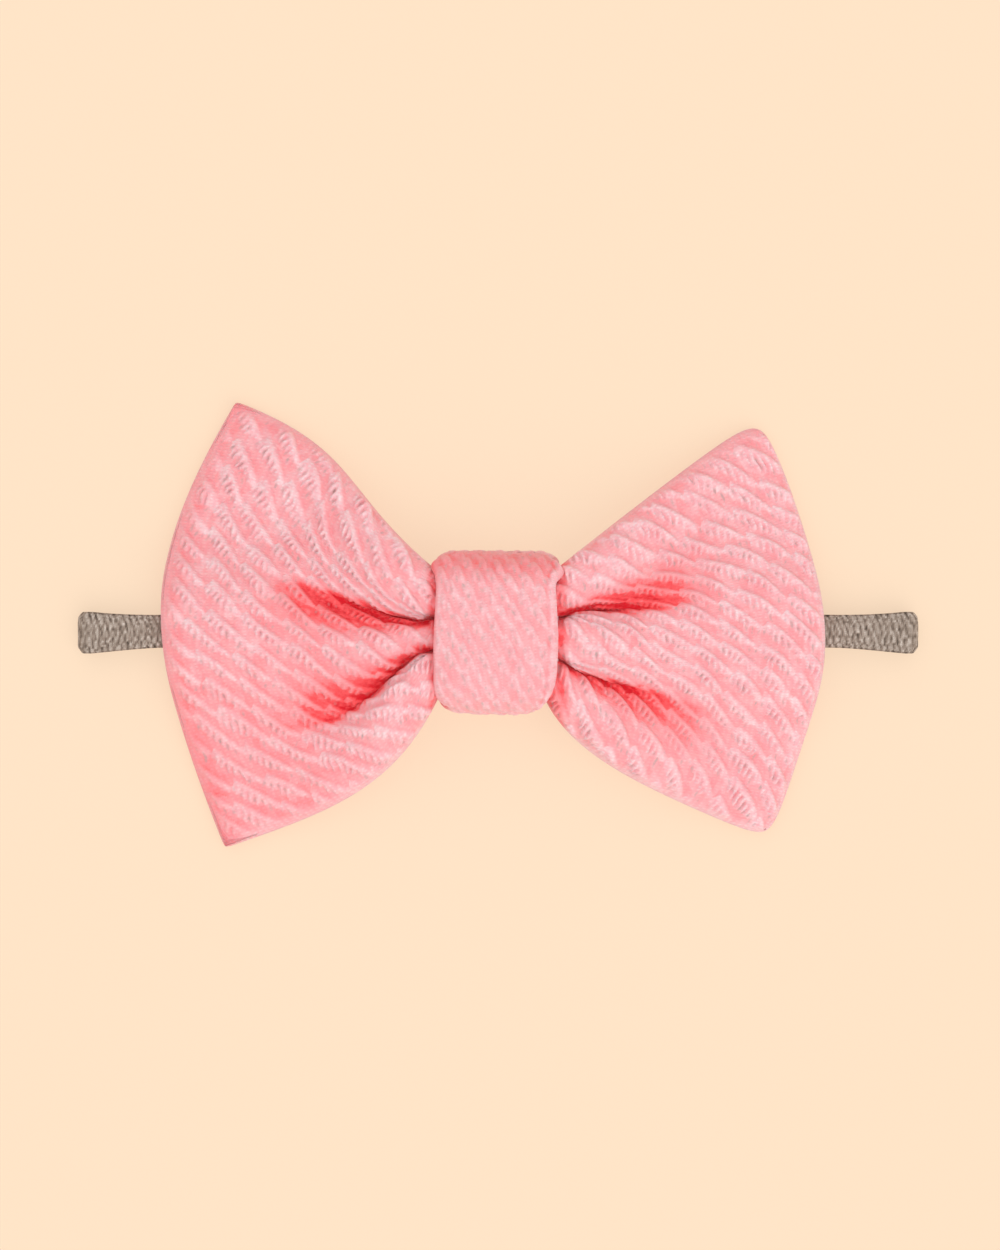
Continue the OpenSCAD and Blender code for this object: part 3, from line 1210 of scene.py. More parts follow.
    def base(self, face: Face, s: Array, t: Array) -> Array:
        """The smooth surface of a panel, before its knit is raised on it.

        Args:
            face: Front or back panel.
            s: Place from the knot to the outer edge.
            t: Place from the foot to the head.

        Returns:
            Points in millimetres, in a last axis.
        """
        out, y = self.plan(s, t)
        seam = self.seam(s, y)
        swell = self.pillow(s, t)
        far = np.clip(out - KNOT_EDGE, 0, None)
        x_wave = self.side.value * out
        if face is Face.FRONT:
            rise = mix(self.knot_rise, self.edge_rise, smooth(s * 1.05))
            rise = rise + self.shoulder_rise * bump(far, 7.5, 7.0)
            rise = rise + 0.30 * ripple(x_wave, y, (34.0, 23.0, 17.0), 2)
            gathers = np.sin(2 * math.pi * y / 3.6 + 0.8) + 0.7 * np.sin(2 * math.pi * y / 2.3)
            rise = rise + self.gather_rise * gathers * np.exp(-far / 4.0)
            rise = rise - np.minimum(sum(pleat.sink(out, y) for pleat in self.pleats), self.fold_limit)
            y = y + swell * sum(pleat.overlap(out, y) for pleat in self.pleats)
            z = seam + swell * rise
        else:
            drop = self.seam(s, 0.0) - self.back_level
            wave = 0.22 * ripple(x_wave, y, (30.0, 19.0), 4)
            fold = 1.1 * (1 - smooth(far / 26.0)) * (bump(y, 5.6, 2.4) + bump(y, -6.4, 2.2))
            gathers = 0.14 * np.sin(2 * math.pi * y / 3.1) * np.exp(-far / 5.0)
            off_band = smooth((np.abs(y) - 3.4) / 3.0)
            z = seam - swell * np.clip(drop + (wave + gathers - fold) * off_band, 0.2, None)
        return stacked(self.side.value * out, y, z)

    def unfolded(self, base: Array, t: Array) -> tuple[Array, Array]:
        """Place of each point on the flat cloth.

        The distance along the cloth is counted inwards from the outer edge along lines of even t.
        The place up the cloth is counted round the folds from the crest of each ridge, so that the
        knit keeps its scale on every ridge, and the cloth between two crests is taken up in the
        fold between them.

        Args:
            base: Points of the panel.
            t: Place from the foot to the head.

        Returns:
            Place across the whole bow, with the side's sign, and place up it, in millimetres.
        """
        steps = np.linalg.norm(np.diff(base, axis=0), axis=2)
        length = np.concatenate([np.zeros((1, base.shape[1])), np.cumsum(steps, axis=0)])
        along = self.cloth_half_length - (length[-1] - length)
        steps = np.linalg.norm(np.diff(base, axis=1), axis=2)
        round_folds = np.concatenate([np.zeros((base.shape[0], 1)), np.cumsum(steps, axis=1)], axis=1)
        out = np.abs(base[..., 0])
        crest = [np.abs(t[0] - ridge).argmin() for ridge in self.ridges]
        top, middle, bottom = (
            self.cloth_half_width * ridge + round_folds - round_folds[:, n : n + 1]
            for ridge, n in zip(self.ridges, crest)
        )
        upper, lower = self.pleats
        width = 1.2 + 1.1 * np.clip(out - 12.0, 0, None)
        above = smooth((base[..., 1] - upper.line(out)) / width + 0.5)
        below = smooth((lower.line(out) - base[..., 1]) / width + 0.5)
        up = middle + above * (top - middle) + below * (bottom - middle)
        return self.side.value * along, up

    def panel(self, face: Face, material: bpy.types.Material) -> None:
        """Builds one panel: the smooth surface, the knit raised on it, and its thickness.

        Args:
            face: Front or back panel.
            material: Its finish.
        """
        s, t = self.grid(face)
        base = self.base(face, s, t)
        outward = grid_normals(base, np.array([0.0, 0.0, float(face.value)]))
        # At the outer corners two edges run into one line, so the normal comes from near by.
        outward[-1, [0, -1]] = outward[-6, [5, -6]]
        across, up = self.unfolded(base, t)
        height, groove, gap = self.knit.relief(across, up * face.value)
        inset = np.minimum((1 - s) * self.spans[0], (1 - np.abs(t)) * self.spans[1])
        calm = smooth((inset - 0.2) / self.rim)
        if face is Face.BACK:
            height = height * self.back_relief
        out, y = self.plan(s, t)
        flush, still = np.zeros_like(s), np.zeros_like(s)
        if face is Face.FRONT:
            flush = np.clip(sum(pleat.flush(out, y) for pleat in self.pleats), 0, 1)
            still = np.clip(sum(pleat.still(out, y) for pleat in self.pleats), 0, 1)
        height = height * calm * mix(0.35, 1.0, smooth(s / 0.08)) * (1 - self.pressed_flat * still)
        outer = base + outward * height[..., None]
        inner = base - outward * self.thickness
        # Painted shade where the cloth turns away from the light, and on the wing just beside the wrap,
        # which shades it; then in the grooves and on the rim, and in the folds where that is more.
        turned = self.turned_away_shade(s, t) + 0.3 * (1 - smooth((out - KNOT_EDGE) / 1.6))
        plain = self.groove_shade * groove * calm + self.rim_shade * (1 - calm) + turned
        on_pads, in_grooves, least = self.fold_shade_levels
        folded = np.maximum(flush * (on_pads + in_grooves * groove), plain * (1 - flush) + flush * least)
        gap = gap * calm * (1 - self.pressed_flat * flush)
        skin = shell(outer, inner, stacked(across, up), np.clip(folded, 0, 1), gap)
        name = f"{self.side.word}_wing_{face.name.lower()}_panel"
        piece = skin.make(name, material)
        start, end = ((self.side.value * place, 0, 0) for place in self.flex)
        declare(piece, (f"bow_{face.name.lower()}_{self.side.word}",),
                ("knot", f"{self.side.word}_wing"), start, end)

    def turned_away_shade(self, s: Array, t: Array) -> Array:
        """Extra painted shade where the cloth turns away from the light: the head of both wings, the outer
        edge and foot of the left.

        Args:
            s: Place from the knot to the outer edge.
            t: Place from the foot to the head.

        Returns:
            What is added to the painted shade of the cloth.
        """
        head = 0.12 * smooth((t - 0.92) / 0.08)
        if self.side is Side.RIGHT:
            return head
        foot = 0.07 * smooth((-t - 0.15) / 0.5) * smooth((s - 0.35) / 0.4)
        return head + 0.14 * smooth((s - 0.92) / 0.08) + foot

    def build(self, knit: bpy.types.Material, thread: bpy.types.Material) -> None:
        """Builds both panels and dresses the hidden stitches of the seam.

        Args:
            knit: Finish of the panels.
            thread: Finish of the stitches.
        """
        for face in Face:
            self.panel(face, knit)
        dress_node(f"edge_seam_{self.side.word}", thread)


LEFT_WING = Wing(
    side=Side.LEFT,
    knot_end=((8.0, -6.4), (8.0, 8.6)),
    foot=((15.7, -26.0), (26.6, -30.1)),
    head=((27.1, 23.2), (22.7, 31.1)),
    outer=((62.1, 0.7), (60.4, 13.3)),
    corners=((46.9, -37.1), (45.0, 39.6)),
    corner_power=140.0,
    pleats=(
        Pleat(course=((10.8, 2.4), (20.5, 2.3), (27.0, 7.6), (40.0, 8.6)), depth=4.4, reach=34.0, lap=1,
              spread=0.17, tint=0.72),
        Pleat(course=((10.8, -3.2), (17.0, -4.5), (21.5, -15.0), (33.0, -15.8)), depth=4.5, reach=32.0,
              lap=-1, spread=0.24),
    ),
    knit=BulletKnit(lean=0.4),
)
RIGHT_WING = Wing(
    side=Side.RIGHT,
    knot_end=((7.0, -8.8), (8.0, 9.2)),
    foot=((11.5, -24.0), (35.3, -29.4)),
    head=((22.3, 20.6), (38.9, 33.4)),
    outer=((55.2, -5.3), (62.3, -7.0)),
    corners=((47.0, -37.1), (45.7, 37.4)),
    corner_power=11.0,
    pleats=(
        Pleat(course=((10.0, 2.3), (17.0, 4.0), (22.0, 2.8), (32.0, 5.2)), depth=4.4, reach=30.0, lap=-1,
              spread=0.21, tint=0.58),
        Pleat(course=((10.2, -4.6), (18.0, -8.6), (21.0, -8.0), (33.0, -12.6)), depth=4.0, reach=33.0,
              lap=1, spread=0.26, tint=0.45),
    ),
    knit=BulletKnit(lean=0.12),
)


@dataclass
class CentreWrap:
    """The folded strip that goes round the pinched middle and the band.

    Attributes:
        around: Points round the wrap.
        across: Points from one side edge to the other.
        thickness: Thickness of the folded strip.
        back_thickness: Its thickness behind, where it is pressed flat.
        flat_width: Width of the folded strip when it lies flat.
        half_span: Half its width on the bow, over which it crowns and its foot bulges.
        crown: How far its face bulges in the middle.
        roll: How far its side edges roll under.
        hem: Height of the hem along its right edge.
        hem_place: Where the hem runs, from the middle, 0, to the right edge, 1.
        hem_groove: Where the groove beside it runs.
        groove_shade: How much shade is painted in the grooves of its knit.
        head_shade: How much shade is painted where it turns away at its upper end.
        left_edge: Heights up the front of the wrap, each with the left edge's distance out.
        right_edge: The same for the right edge, whose upper end juts out.
        knit: Its texture.
    """

    around: int = 300
    across: int = 104
    thickness: float = 1.9
    back_thickness: float = 1.3
    flat_width: float = 21.9
    half_span: float = 11.0
    crown: float = 0.55
    roll: float = 1.05
    hem: float = 0.26
    hem_place: float = 0.925
    hem_groove: float = 0.835
    groove_shade: float = 0.17
    head_shade: float = 0.24
    left_edge: Pairs = (
        (-14.0, 8.6), (-13.7, 9.7), (-13.2, 10.4), (-12.4, 10.8), (-11.0, 10.95), (-9.0, 11.0),
        (-6.0, 10.95), (-2.0, 10.95), (3.0, 10.7), (8.0, 10.5), (11.0, 10.8), (12.4, 11.2),
        (13.1, 11.2), (13.6, 10.9), (14.0, 10.0),
    )
    right_edge: Pairs = (
        (-14.0, 6.4), (-13.6, 7.7), (-12.9, 8.6), (-11.8, 9.2), (-10.0, 9.6), (-7.5, 9.9),
        (-4.0, 10.15), (-0.5, 10.25), (4.0, 10.0), (7.5, 9.75), (9.5, 9.95), (11.0, 10.6),
        (12.2, 11.2), (12.9, 11.2), (13.5, 10.7), (14.0, 9.5),
    )
    knit: BulletKnit = field(
        default_factory=lambda: BulletKnit(
            slant=-57.0, row_pitch=2.3, pad_length=3.8, wale=0.95, rise=0.42, lean=0.5,
            parting=0.9, openness=0.7,
        )
    )

    def half_width(self, side: Side, y: Array, z: Array) -> Array:
        """Distance of a side edge from the middle, at a height y up the wrap."""
        heights, widths = zip(*(self.left_edge if side is Side.LEFT else self.right_edge))
        return np.interp(y, heights, widths) * mix(0.93, 1.0, smooth((z - 3.0) / 4.0))

    @staticmethod
    def ring(angle: Array) -> tuple[Array, Array]:
        """The wrap seen end on: a rounded box through sgn(c)|c|^(2/n) of the angle's cos and sin.

        Args:
            angle: Angle round the wrap.

        Returns:
            Place up the bow and height over the table.
        """
        low, high = node_box("centre_wrap")
        c, s = np.cos(angle), np.sin(angle)
        half_y = (high[1] - low[1]) / 2 - 0.2
        half_z = (high[2] - low[2]) / 2
        power = np.where(s > 0, 2 / 3.0, 2 / 4.5)
        y = half_y * np.sign(c) * np.abs(c) ** (2 / 3.6)
        z = (high[2] + low[2]) / 2 + half_z * np.sign(s) * np.abs(s) ** power
        return y, z

    def build(self, material: bpy.types.Material) -> None:
        """Builds the strip.

        Rows of points go round the wrap at even distances, and columns go across it. The side
        edges roll under as sqrt(1 - w^7), the foot bulges down in the middle, and a rolled hem
        runs up the right edge.

        Args:
            material: Its finish.
        """
        fine = np.linspace(0, 2 * math.pi, 4001)
        y, z = self.ring(fine)
        length = np.concatenate([[0], np.cumsum(np.hypot(np.diff(y), np.diff(z)))])
        even = np.linspace(0, length[-1], self.around, endpoint=False)
        y, z = np.interp(even, length, y)[:, None], np.interp(even, length, z)[:, None]
        w = np.sin(np.linspace(-1, 1, self.across) * math.pi / 2 * 0.94) / math.sin(math.pi / 2 * 0.94)
        w = np.broadcast_to(w, (self.around, self.across))
        left = self.half_width(Side.LEFT, y, z)
        right = self.half_width(Side.RIGHT, y, z)
        x = np.where(w < 0, w * left, w * right)
        front = smooth((z - 5.0) / 8.0)
        foot = smooth((-y - 7.0) / 6.0) * front
        head = smooth((y - 7.0) / 6.0) * front
        middle = 1 - (x / self.half_span) ** 2
        bulge = foot * (1.25 - 1.1 * middle) - head * (0.035 * x + 0.6)
        pinch = -0.5 * head * smooth((np.abs(w) - 0.75) / 0.25)
        surface = stacked(x, y + bulge + pinch, z)
        crown = self.crown * middle * smooth((z - 13.0) / 3.5)
        surface[..., 2] += crown + 0.10 * ripple(x, even[:, None] + 0 * x, (19.0, 13.0), 6) * front
        closed = np.concatenate([surface[-1:], surface, surface[:1]])
        outward = grid_normals(closed, closed - np.array([0.0, 0.0, 9.0]))[1:-1]

        roll = self.roll * (1 - np.sqrt(np.clip(1 - np.abs(w) ** 7, 0, 1)))
        beside = bump(w, self.hem_groove, 0.03)
        hem = front * (self.hem * bump(w, self.hem_place, 0.05) - 0.14 * beside)
        height, groove, gap = self.knit.relief(x, -even[:, None] + 0 * x)
        calm = smooth((1 - np.abs(w)) / 0.14) * mix(0.35, 1.0, front)
        behind = smooth((4.0 - z) / 2.0)
        lap = 0.3 * behind * smooth((-y - 7.2) / 0.7) * smooth((y + 13.0) / 1.5)
        outer = surface + outward * (height * calm + hem - roll + lap - 0.12)[..., None]
        thick = mix(self.thickness, self.back_thickness, behind)
        inner = surface - outward * (thick + 0 * x - 0.35 * roll)[..., None]

        # Painted shade in the grooves of the knit, in the groove beside the hem, where the upper end turns
        # away from the light and along the left edge; a painted highlight lightens the hem strip on the
        # right.
        deep = self.groove_shade * groove * calm + 0.10 * beside * front + self.head_shade * head
        deep = np.clip(deep + 0.25 * smooth((-w - 0.93) / 0.07) - 0.2 * bump(w, 0.93, 0.06), 0, 1)
        skin = self.close(outer, inner, stacked(x, -even[:, None]), deep, gap * calm)
        piece = skin.make("centre_wrap_strip", material)
        declare(piece, ("centre_wrap",), ("knot",))

    @staticmethod
    def close(outer: Array, inner: Array, cloth: Array, deep: Array, gap: Array) -> Skin:
        """Closes a ring of cloth with an outer face, an inner face and two side edges.

        Args:
            outer: Grid of points of the outer face, round the ring by across it by 3.
            inner: The same of the inner face.
            cloth: Place of each point on the flat cloth.
            deep: Painted shade and specks.
            gap: Openness of the knit.

        Returns:
            The surface, with its faces pointing out of the cloth.
        """
        rows, columns = outer.shape[:2]
        count = rows * columns
        walls = grid_quads(rows, columns, close_rows=True)
        number = np.arange(count).reshape(rows, columns)
        ahead = np.roll(number, -1, axis=0)
        sides = []
        for column, turn in ((0, -1), (columns - 1, 1)):
            here, onward = number[:, column], ahead[:, column]
            sides.append(np.stack([here, onward, onward + count, here + count], axis=1)[:, ::turn])
        faces = np.concatenate([walls, walls[:, ::-1] + count, *sides])
        points = np.concatenate([outer.reshape(-1, 3), inner.reshape(-1, 3)])
        if inside_out(points, walls, (outer - inner).reshape(-1, 3)):
            faces = faces[:, ::-1]
        return Skin(
            points=points,
            quads=faces,
            cloth=np.tile(cloth.reshape(-1, 2), (2, 1)),
            deep=np.tile(deep.ravel(), 2),
            gap=np.tile(gap.ravel(), 2),
        )


@dataclass
class KnotInside:
    """What the centre wrap hides: the gathered waist, its thread, the glue and the stitches.

    Attributes:
        waist_half: Half length of the gathered waist.
        stations: Rings along the waist.
        gathers: Gathers round the waist.
        waist_around: Points round the waist.
        waist_heights: Half the waist's height under the thread and at its ends.
        waist_depths: Half its depth at the same places.
        gather_depth: How deep the gathers are, as a share of that.
        whips: Stitches that close the wrap.
        zigzags: Stitches that join the band's ends.
        margin: How far a stitch stays inside the edge of what it sews.
        whip_width: Thickness of the thread that closes the wrap.
        whip_lean: How far a stitch of that thread leans along its row.
        zigzag_width: Thickness of the thread that joins the band's ends.
        zigzag_step: How far a stitch of that thread steps up the bow.
        ply_turn: Length of thread over which its two plies turn once.
        stitch_rings: Rings of points along a stitch.
        stitch_around: Points round it.
        dab_rings: Rings of points from the top of a dab of glue to its bottom.
        dab_around: Points round it.
    """

    waist_half: float = 10.2
    stations: int = 90
    gathers: int = 22
    waist_around: int = 264
    waist_heights: tuple[float, float] = (8.5, 9.2)
    # gather_depth: How far in the gathers go, as a share of that.
    waist_depths: tuple[float, float] = (4.2, 3.6)
    gather_depth: float = 0.10
    whips: int = 7
    zigzags: int = 6
    margin: float = 0.15
    whip_width: float = 0.34
    whip_lean: float = 1.2
    zigzag_width: float = 0.26
    zigzag_step: float = 0.3
    ply_turn: float = 0.7
    stitch_rings: int = 17
    stitch_around: int = 12
    dab_rings: int = 15
    dab_around: int = 48

    def build(self, knit: bpy.types.Material, pink: bpy.types.Material, grey: bpy.types.Material,
              glue: bpy.types.Material) -> None:
        """Builds every hidden piece of the knot.

        Args:
            knit: Finish of the waist.
            pink: Finish of the pink thread.
            grey: Finish of the grey thread.
            glue: Finish of the glue.
        """
        self.waist(knit)
        dress_node("gathering_thread", pink)
        self.stitches("wrap_stitches", "wrap_whip_stitches", self.whips, pink,
                      self.whip_lean)
        self.stitches("band_join_stitches", "band_zigzag_stitches", self.zigzags, grey,
                      0.0)
        self.dabs(glue)

    def waist(self, material: bpy.types.Material) -> None:
        """Builds the cloth under the thread: an oval whose radius waves once for each gather.

        Args:
            material: Its finish.
        """
        low, high = node_box("bow_waist")
        middle = (low[2] + high[2]) / 2
        x = np.linspace(-self.waist_half, self.waist_half, self.stations)[:, None]
        angle = round_angles(self.waist_around)
        fan = smooth((np.abs(x) - 2.6) / 6.5)
        gather = np.abs(np.sin(angle * self.gathers / 2 + 0.4 * np.sin(3 * angle)))
        shrink = 1 - self.gather_depth * (1 - gather) * mix(0.4, 1.0, fan)
        y = mix(*self.waist_heights, fan) * np.cos(angle) * shrink
        z = middle + mix(*self.waist_depths, fan) * np.sin(angle) * shrink
        # Painted shade in the hollows between the gathers.
        deep = np.broadcast_to((1 - gather) ** 2, y.shape)
        skin = tube(stacked(x, y, z), stacked(x, angle * 12), deep, np.zeros(y.shape))
        piece = skin.make("gathered_waist", material)
        declare(piece, ("bow_waist",), ("knot",))

    def stitches(self, node: str, name: str, count: int, material: bpy.types.Material,
                 lean: float) -> None:
        """A row of stitches, each a twisted thread that arches out of the cloth.

        Args:
            node: The CAD node that they replace.
            name: The piece's name.
            count: How many stitches there are.
            material: Their finish.
            lean: How far a stitch leans along the row, or 0 for a zigzag.
        """
        low, high = node_box(node)
        level = (low[2] + high[2]) / 2
        skins = []
        for n in range(count):
            k = n / (count - 1)
            if lean:
                x = mix(low[0] + 0.1, high[0] - lean - 0.1, k)
                ends = (x, low[1] + self.margin), (x + lean, high[1] - self.margin)
                skins.append(self.thread(*ends, level, -1, self.whip_width))
            else:
                y = mix(low[1] + self.margin, high[1] - self.margin - self.zigzag_step, k)
                left, right = (low[0], high[0]) if n % 2 == 0 else (high[0], low[0])
                ends = (left, y), (right, y + self.zigzag_step)
                skins.append(self.thread(*ends, level, 1, self.zigzag_width))
        declare(joined(skins).make(name, material), (node,), ("knot",))

    def thread(self, a: tuple[float, float], b: tuple[float, float], level: float, outward: int,
               width: float) -> Skin:
        """One stitch: a two-ply thread whose round section waves twice as it turns along it.

        Args:
            a: Where it comes out of the cloth, across and up the bow.
            b: Where it goes in again.
            level: Height of the cloth over the table.
            outward: Side to which it arches, 1 for the front and -1 for the back.
            width: Thickness of the thread.

        Returns:
            The closed stitch.
        """
        k = np.linspace(0, 1, self.stitch_rings)[:, None]
        angle = round_angles(self.stitch_around)
        run = np.subtract(b, a)
        length = float(np.hypot(*run))
        along = np.append(run / length, 0.0)
        side = np.array([-along[1], along[0], 0.0])
        up = np.array([0.0, 0.0, float(outward)])
        arch = 0.10 * np.sin(math.pi * k) - 0.06
        spine = np.append(a, level) + k[..., None] * along * length + arch[..., None] * up
        ply = 1 + 0.2 * np.cos(2 * angle - 2 * math.pi * k * length / self.ply_turn)
        radius = width / 2 * ply * np.sqrt(np.clip(1 - np.abs(2 * k - 1) ** 8, 0.08, 1))
        rings = spine + radius[..., None] * (
            np.cos(angle)[..., None] * side + np.sin(angle)[..., None] * up
        )
        blank = np.zeros(radius.shape)
        return tube(rings, stacked(k * length, angle * width), blank, blank)

    def dabs(self, material: bpy.types.Material) -> None:
        """Builds two pressed dabs of glue, round with an uneven rim.

        Args:
            material: Their finish.
        """
        low, high = node_box("adhesive_dabs")
        radius = (high[1] - low[1]) / 2
        k = np.linspace(0, 1, self.dab_rings)[:, None]
        angle = round_angles(self.dab_around)
        skins = []
        for side in Side:
            middle = side.value * (high[0] - radius)
            rim = radius * (0.93 + 0.05 * np.sin(3 * angle + side.value) + 0.03 * np.sin(5 * angle))
            r = rim * np.sin(math.pi * mix(0.03, 0.97, k)) ** 0.35
            z = mix(low[2] + 0.02, high[2] - 0.02, k)
            rings = stacked(middle + r * np.cos(angle), r * np.sin(angle), z)
            blank = np.zeros(r.shape)
            skins.append(tube(rings, rings[..., :2], blank, blank))
        declare(joined(skins).make("glue_dabs", material), ("adhesive_dabs",), ("knot",))


# ---------------------------------------------------------------------------------------------
# The band
# ---------------------------------------------------------------------------------------------


@dataclass
class Band:
    """The flat knitted elastic tube, cut at the bottom of its ribs into separate lengths.

    Attributes:
        rib: Distance from rib to rib.
        rib_steps: Rings of points to a rib.
        around: Points round the tube.
        rib_rise: Height of a rib.
        bar_rows: Rows of bars across the tube.
        knot_cut: Where a run is cut beside the knot.
        knot_bend: Where it starts to bend beside the knot.
        elastic: Between which distances out it stretches.
        knee_cut: Where a run is cut beside the hinge further out.
        knee_end: How far the bend of that hinge reaches.
        butt: Distance from the middle to each of the tube's two ends in front.
        flare: Length over which the tube widens towards its fold.
        squareness: How straight its faces are between its half-round edges.
        bar_profile: Power that flattens the top of a rib's bars.
        bar_shift: Share of a rib by which every second row of bars is out of step.
        speck: Size of the yarn's specks, along and across the tube.
    """

    rib: float = 1.1
    rib_steps: int = 10
    around: int = 84
    rib_rise: float = 0.17
    bar_rows: float = 4.4
    knot_cut: float = 15.4
    knot_bend: float = 12.4
    elastic: tuple[float, float] = (16.0, 39.8)
    knee_cut: float = 40.7
    knee_end: float = 43.6
    butt: float = 0.02
    flare: float = 12.0
    squareness: float = 2.6
    bar_profile: float = 0.55
    bar_shift: float = 0.42
    speck: tuple[float, float] = (0.27, 0.31)

    def __post_init__(self) -> None:
        """Reads the levels, widths and bends of the band from the frame."""
        back = node_box("band_back_centre")
        front = node_box("band_left_front_elastic")
        fold = node_box("band_right_fold")
        self.thick = float(back[1][2] - back[0][2])
        self.width = float(back[1][1] - back[0][1])
        self.end_width = float(fold[1][1] - fold[0][1])
        self.fold_x = float(fold[0][0])
        self.levels = {
            Run.BACK: float(back[0][2] + back[1][2]) / 2,
            Run.FRONT: float(front[0][2] + front[1][2]) / 2,
        }

    def section(self, width: Array, angle: Array) -> tuple[Array, Array]:
        """The flattened tube end on: a straight-sided band with half-round edges.

        Args:
            width: Width of the tube, one to a ring.
            angle: Angle round the tube.

        Returns:
            Place across the tube and height above its middle.
        """
        half = (width - self.thick) / 2
        c, s = np.cos(angle), np.sin(angle)
        across = half * np.tanh(self.squareness * c) / math.tanh(self.squareness) + self.thick / 2 * c
        height = self.thick / 2 * np.sign(s) * np.abs(s) ** 0.55
        return across, height

    def knit(self, along: Array, across: Array, width: Array) -> tuple[Array, Array, Array]:
        """Relief of the tube's ribs.

        Each rib is a raised bar across the tube, |cos|^0.55 of its place along. The bars stand in
        a few rows, each out of step with the next, and those of the upper rows lean. Two strands
        run along each bar, and the yarn is specked.

        Args:
            along: Distance along the tube.
            across: Distance across it from its middle.
            width: Width of the tube.

        Returns:
            Height in millimetres, painted shade between the bars and along the edges with the yarn's random
            specks, and openness.
        """
        place = across / width
        wobble = 0.09 * ripple(along, across, (9.0, 5.0), 11) + 0.03 * ripple(along, across, (1.7, 1.3), 12)
        level = place * self.bar_rows + 0.5 + 0.25 * ripple(along, along, (7.0, 4.0), 14)
        row = np.floor(level)
        slope = 0.7 * smooth(place * 3 + 0.5) * (level - row - 0.5)
        turn = along / self.rib + slope + self.bar_shift * np.mod(row, 2) + wobble
        bar = np.abs(np.cos(math.pi * turn)) ** self.bar_profile
        number = np.floor(turn + 0.5)
        grade = 0.65 + 0.7 * scatter(number, row, 1.0)
        neck = smooth((0.5 - np.abs(level - row - 0.5)) / 0.22)
        edge = smooth((np.abs(place) - 0.44) / 0.05)
        strand = np.abs(np.cos(2 * math.pi * turn + 0.6 * np.sin(9 * across)))
        height = self.rib_rise * mix(bar * grade * mix(0.55, 1.0, neck) * mix(0.8, 1.0, strand), 0.4, edge)
        speck = scatter(np.floor(along / self.speck[0]), np.floor(across / self.speck[1] + 0.5 * number))
        # Painted shade between the bars and along the rounded edges, with the yarn's random specks added.
        groove = np.clip(1 - bar * mix(0.7, 1.0, neck) * mix(0.8, 1.0, strand), 0, 1)
        groove = 0.10 + 0.66 * groove**0.9 + 0.55 * (speck - 0.4) + 0.25 * edge
        gap = np.clip(1.6 * (1 - bar) - 0.8, 0, 1) * scatter(number + 9, row, 4.0) * (1 - edge)
        return height, np.clip(groove, 0, 1), 0.8 * gap

    def length(self, side: Side, run: Run, start: float, end: float) -> Skin:
        """A straight length of one run.

        Args:
            side: Left or right of the knot.
            run: Front or back run.
            start: Distance out from the knot's middle where it starts.
            end: Distance out where it ends.

        Returns:
            The closed tube.
        """
        steps = max(2, round((end - start) / self.rib * self.rib_steps))
        out = np.linspace(start, end, steps + 1)[:, None]
        angle = round_angles(self.around)
        across, height, width = self.shape(out, angle)
        way = 1 if run is Run.FRONT else -1
        rise, deep, gap = self.knit(out * side.value * way, across, width)
        press = smooth((height - 0.1) / 0.2) if run is Run.BACK else 1.0
        y = across + self.drift(out) + 0.3 * rise * np.cos(angle)
        z = self.levels[run] + height + 0.6 * rise * np.sin(angle) * press
        return self.closed(side, out, across, (side.value * out, y, z), deep, gap)

    @staticmethod
    def closed(side: Side, along: Array, across: Array, place: tuple[Array, Array, Array],
               deep: Array, gap: Array) -> Skin:
        """Closes the rings of a length of band.

        Args:
            side: Left or right of the knot.
            along: Distance along the tube, one to a ring.
            across: Distance across it.
            place: X, Y and Z of its points.
            deep: Painted shade and specks.
            gap: Openness of the knit.

        Returns:
            The closed tube.
        """
        rings = stacked(*place)
        blank = np.zeros(rings.shape[:2])
        return tube(rings, stacked(side.value * along, across), deep + blank, gap + blank)

    def shape(self, out: Array, angle: Array) -> tuple[Array, Array, Array]:
        """Section of the tube at a distance out, widened over the flare towards the fold.

        Args:
            out: Distance out from the knot's middle.
            angle: Angle round the tube.

        Returns:
            Place across the tube, height above its middle, and its width.
        """
        grow = np.clip((out - (self.fold_x - self.flare)) / self.flare, 0, 1) ** 1.6
        width = mix(self.width, self.end_width, grow)
        across, height = self.section(width, angle)
        return across, height, width

    @staticmethod
    def drift(out: Array) -> Array:
        """How far the tube's middle strays up or down the bow."""
        return mix(0.15, -0.12, smooth((out - 55.0) / 14.0)) * smooth((out - 30.0) / 20.0)

    def turn(self, side: Side) -> Skin:
        """The half turn at the end of the loop, a bent length of the same tube, flat on the table.

        Args:
            side: Left or right of the knot.

        Returns:
            The closed tube.
        """
        radius = (self.levels[Run.FRONT] - self.levels[Run.BACK]) / 2
        middle = (self.levels[Run.FRONT] + self.levels[Run.BACK]) / 2
        steps = round(math.pi * radius / self.rib * self.rib_steps)
        bend = np.linspace(math.pi / 2, -math.pi / 2, steps + 1)[:, None]
        angle = round_angles(self.around)
        along = self.fold_x + radius * (math.pi / 2 - bend)
        start = np.full_like(along, self.fold_x)
        across, height, width = self.shape(start, angle)
        rise, deep, gap = self.knit(along * side.value, across, width)
        reach = radius + height + 0.6 * rise * np.sin(angle)
        place = across / width
        tuck = 0.5 * smooth((place - 0.34) / 0.16) + 0.5 * smooth((-place - 0.32) / 0.18)
        x = side.value * (self.fold_x + (reach - tuck) * np.cos(bend))
        y = across + self.drift(start) + 0.3 * rise * np.cos(angle)
        z = np.maximum(middle + reach * np.sin(bend), self.levels[Run.BACK] - self.thick / 2)
        return self.closed(side, along, across, (x, y, z), deep, gap)

    def build(self, material: bpy.types.Material) -> None:
        """Builds the whole loop, length by length.

        Args:
            material: The band's finish.
        """
        for side in Side:
            self.build_side(side, material)
        self.build_back_middle(material)

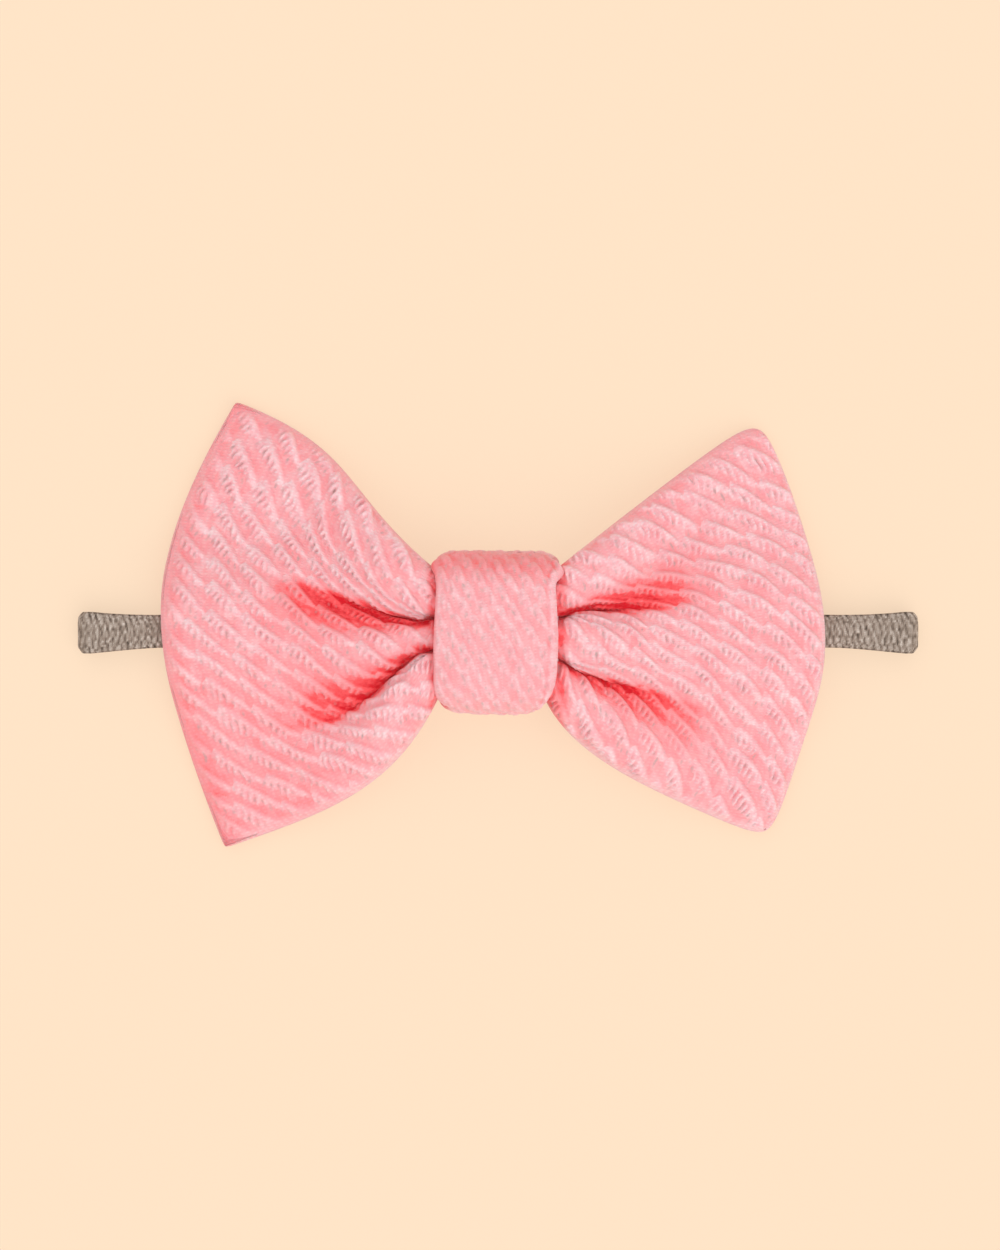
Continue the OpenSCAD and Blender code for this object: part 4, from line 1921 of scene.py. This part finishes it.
    def build_side(self, side: Side, material: bpy.types.Material) -> None:
        """Builds one side of the loop, out along the front run, round the fold and back.

        Each row gives a length's surface, its name, the nodes that it replaces, the two bodies that it
        lies between, and the distance out and the level where the bend starts and ends.

        Args:
            side: Left or right of the knot.
            material: The band's finish.
        """
        near, far, end, knee = self.knot_cut, self.knee_cut, self.fold_x, self.knee_end
        inner, outer = self.elastic
        front, back = self.levels[Run.FRONT], self.levels[Run.BACK]
        rows = (
            (self.length(side, Run.FRONT, self.butt, near), "front_inner", ("end", "front_stub"),
             ("knot", "front_inner"), (self.knot_bend, front), (near, front)),
            (self.length(side, Run.FRONT, near, far), "front_stretch", ("front_elastic",),
             ("front_inner", "front_knee"), (inner, front), (outer, front)),
            (self.length(side, Run.FRONT, far, end), "front_end", ("front_knee", "front_outer"),
             ("front_knee", "front_outer"), (far, front), (knee, front)),
            (self.turn(side), "turn", ("fold",),
             ("front_outer", "back_outer"), (end, front), (end, back)),
            (self.length(side, Run.BACK, far, end), "back_end", ("back_outer", "back_knee"),
             ("back_outer", "back_knee"), (knee, back), (far, back)),
            (self.length(side, Run.BACK, near, far), "back_stretch", ("back_elastic",),
             ("back_knee", "back_inner"), (outer, back), (inner, back)),
        )
        for skin, name, nodes, bodies, (x_start, z_start), (x_end, z_end) in rows:
            declare(
                skin.make(f"band_{side.word}_{name}", material),
                tuple(f"band_{side.word}_{node}" for node in nodes),
                tuple(body if body == "knot" else f"{side.word}_{body}" for body in bodies),
                (side.value * x_start, 0, z_start), (side.value * x_end, 0, z_end),
            )

    def build_back_middle(self, material: bpy.types.Material) -> None:
        """Builds the back run under the knot, whose right end is where the chain is open.

        Args:
            material: The band's finish.
        """
        near, back = self.knot_cut, self.levels[Run.BACK]
        middle_end = node_box("band_back_centre")[1][0]
        stub_start = node_box("band_right_back_stub")[0][0]
        declare(
            self.length(Side.RIGHT, Run.BACK, -near, middle_end).make("band_back_middle", material),
            ("band_back_centre", "band_left_back_stub"),
            ("left_back_inner", "back_centre"), (-near, 0, back), (-self.knot_bend, 0, back),
        )
        declare(
            self.length(Side.RIGHT, Run.BACK, stub_start, near).make("band_right_back_inner", material),
            ("band_right_back_stub",), ("right_back_inner",),
        )


def main() -> None:
    """Builds the studio and then the headband, piece by piece."""
    logging.basicConfig(level=logging.INFO, format="%(name)s: %(message)s")
    Studio().build()
    bow_knit = BOW_KNIT.material()
    pink = PINK_THREAD.material()
    for wing in (LEFT_WING, RIGHT_WING):
        wing.build(bow_knit, pink)
    CentreWrap().build(WRAP_KNIT.material())
    KnotInside().build(bow_knit, pink, GREY_THREAD.material(), GlueFinish().material())
    Band().build(BAND_KNIT.material())


if __name__ == "__main__":
    main()
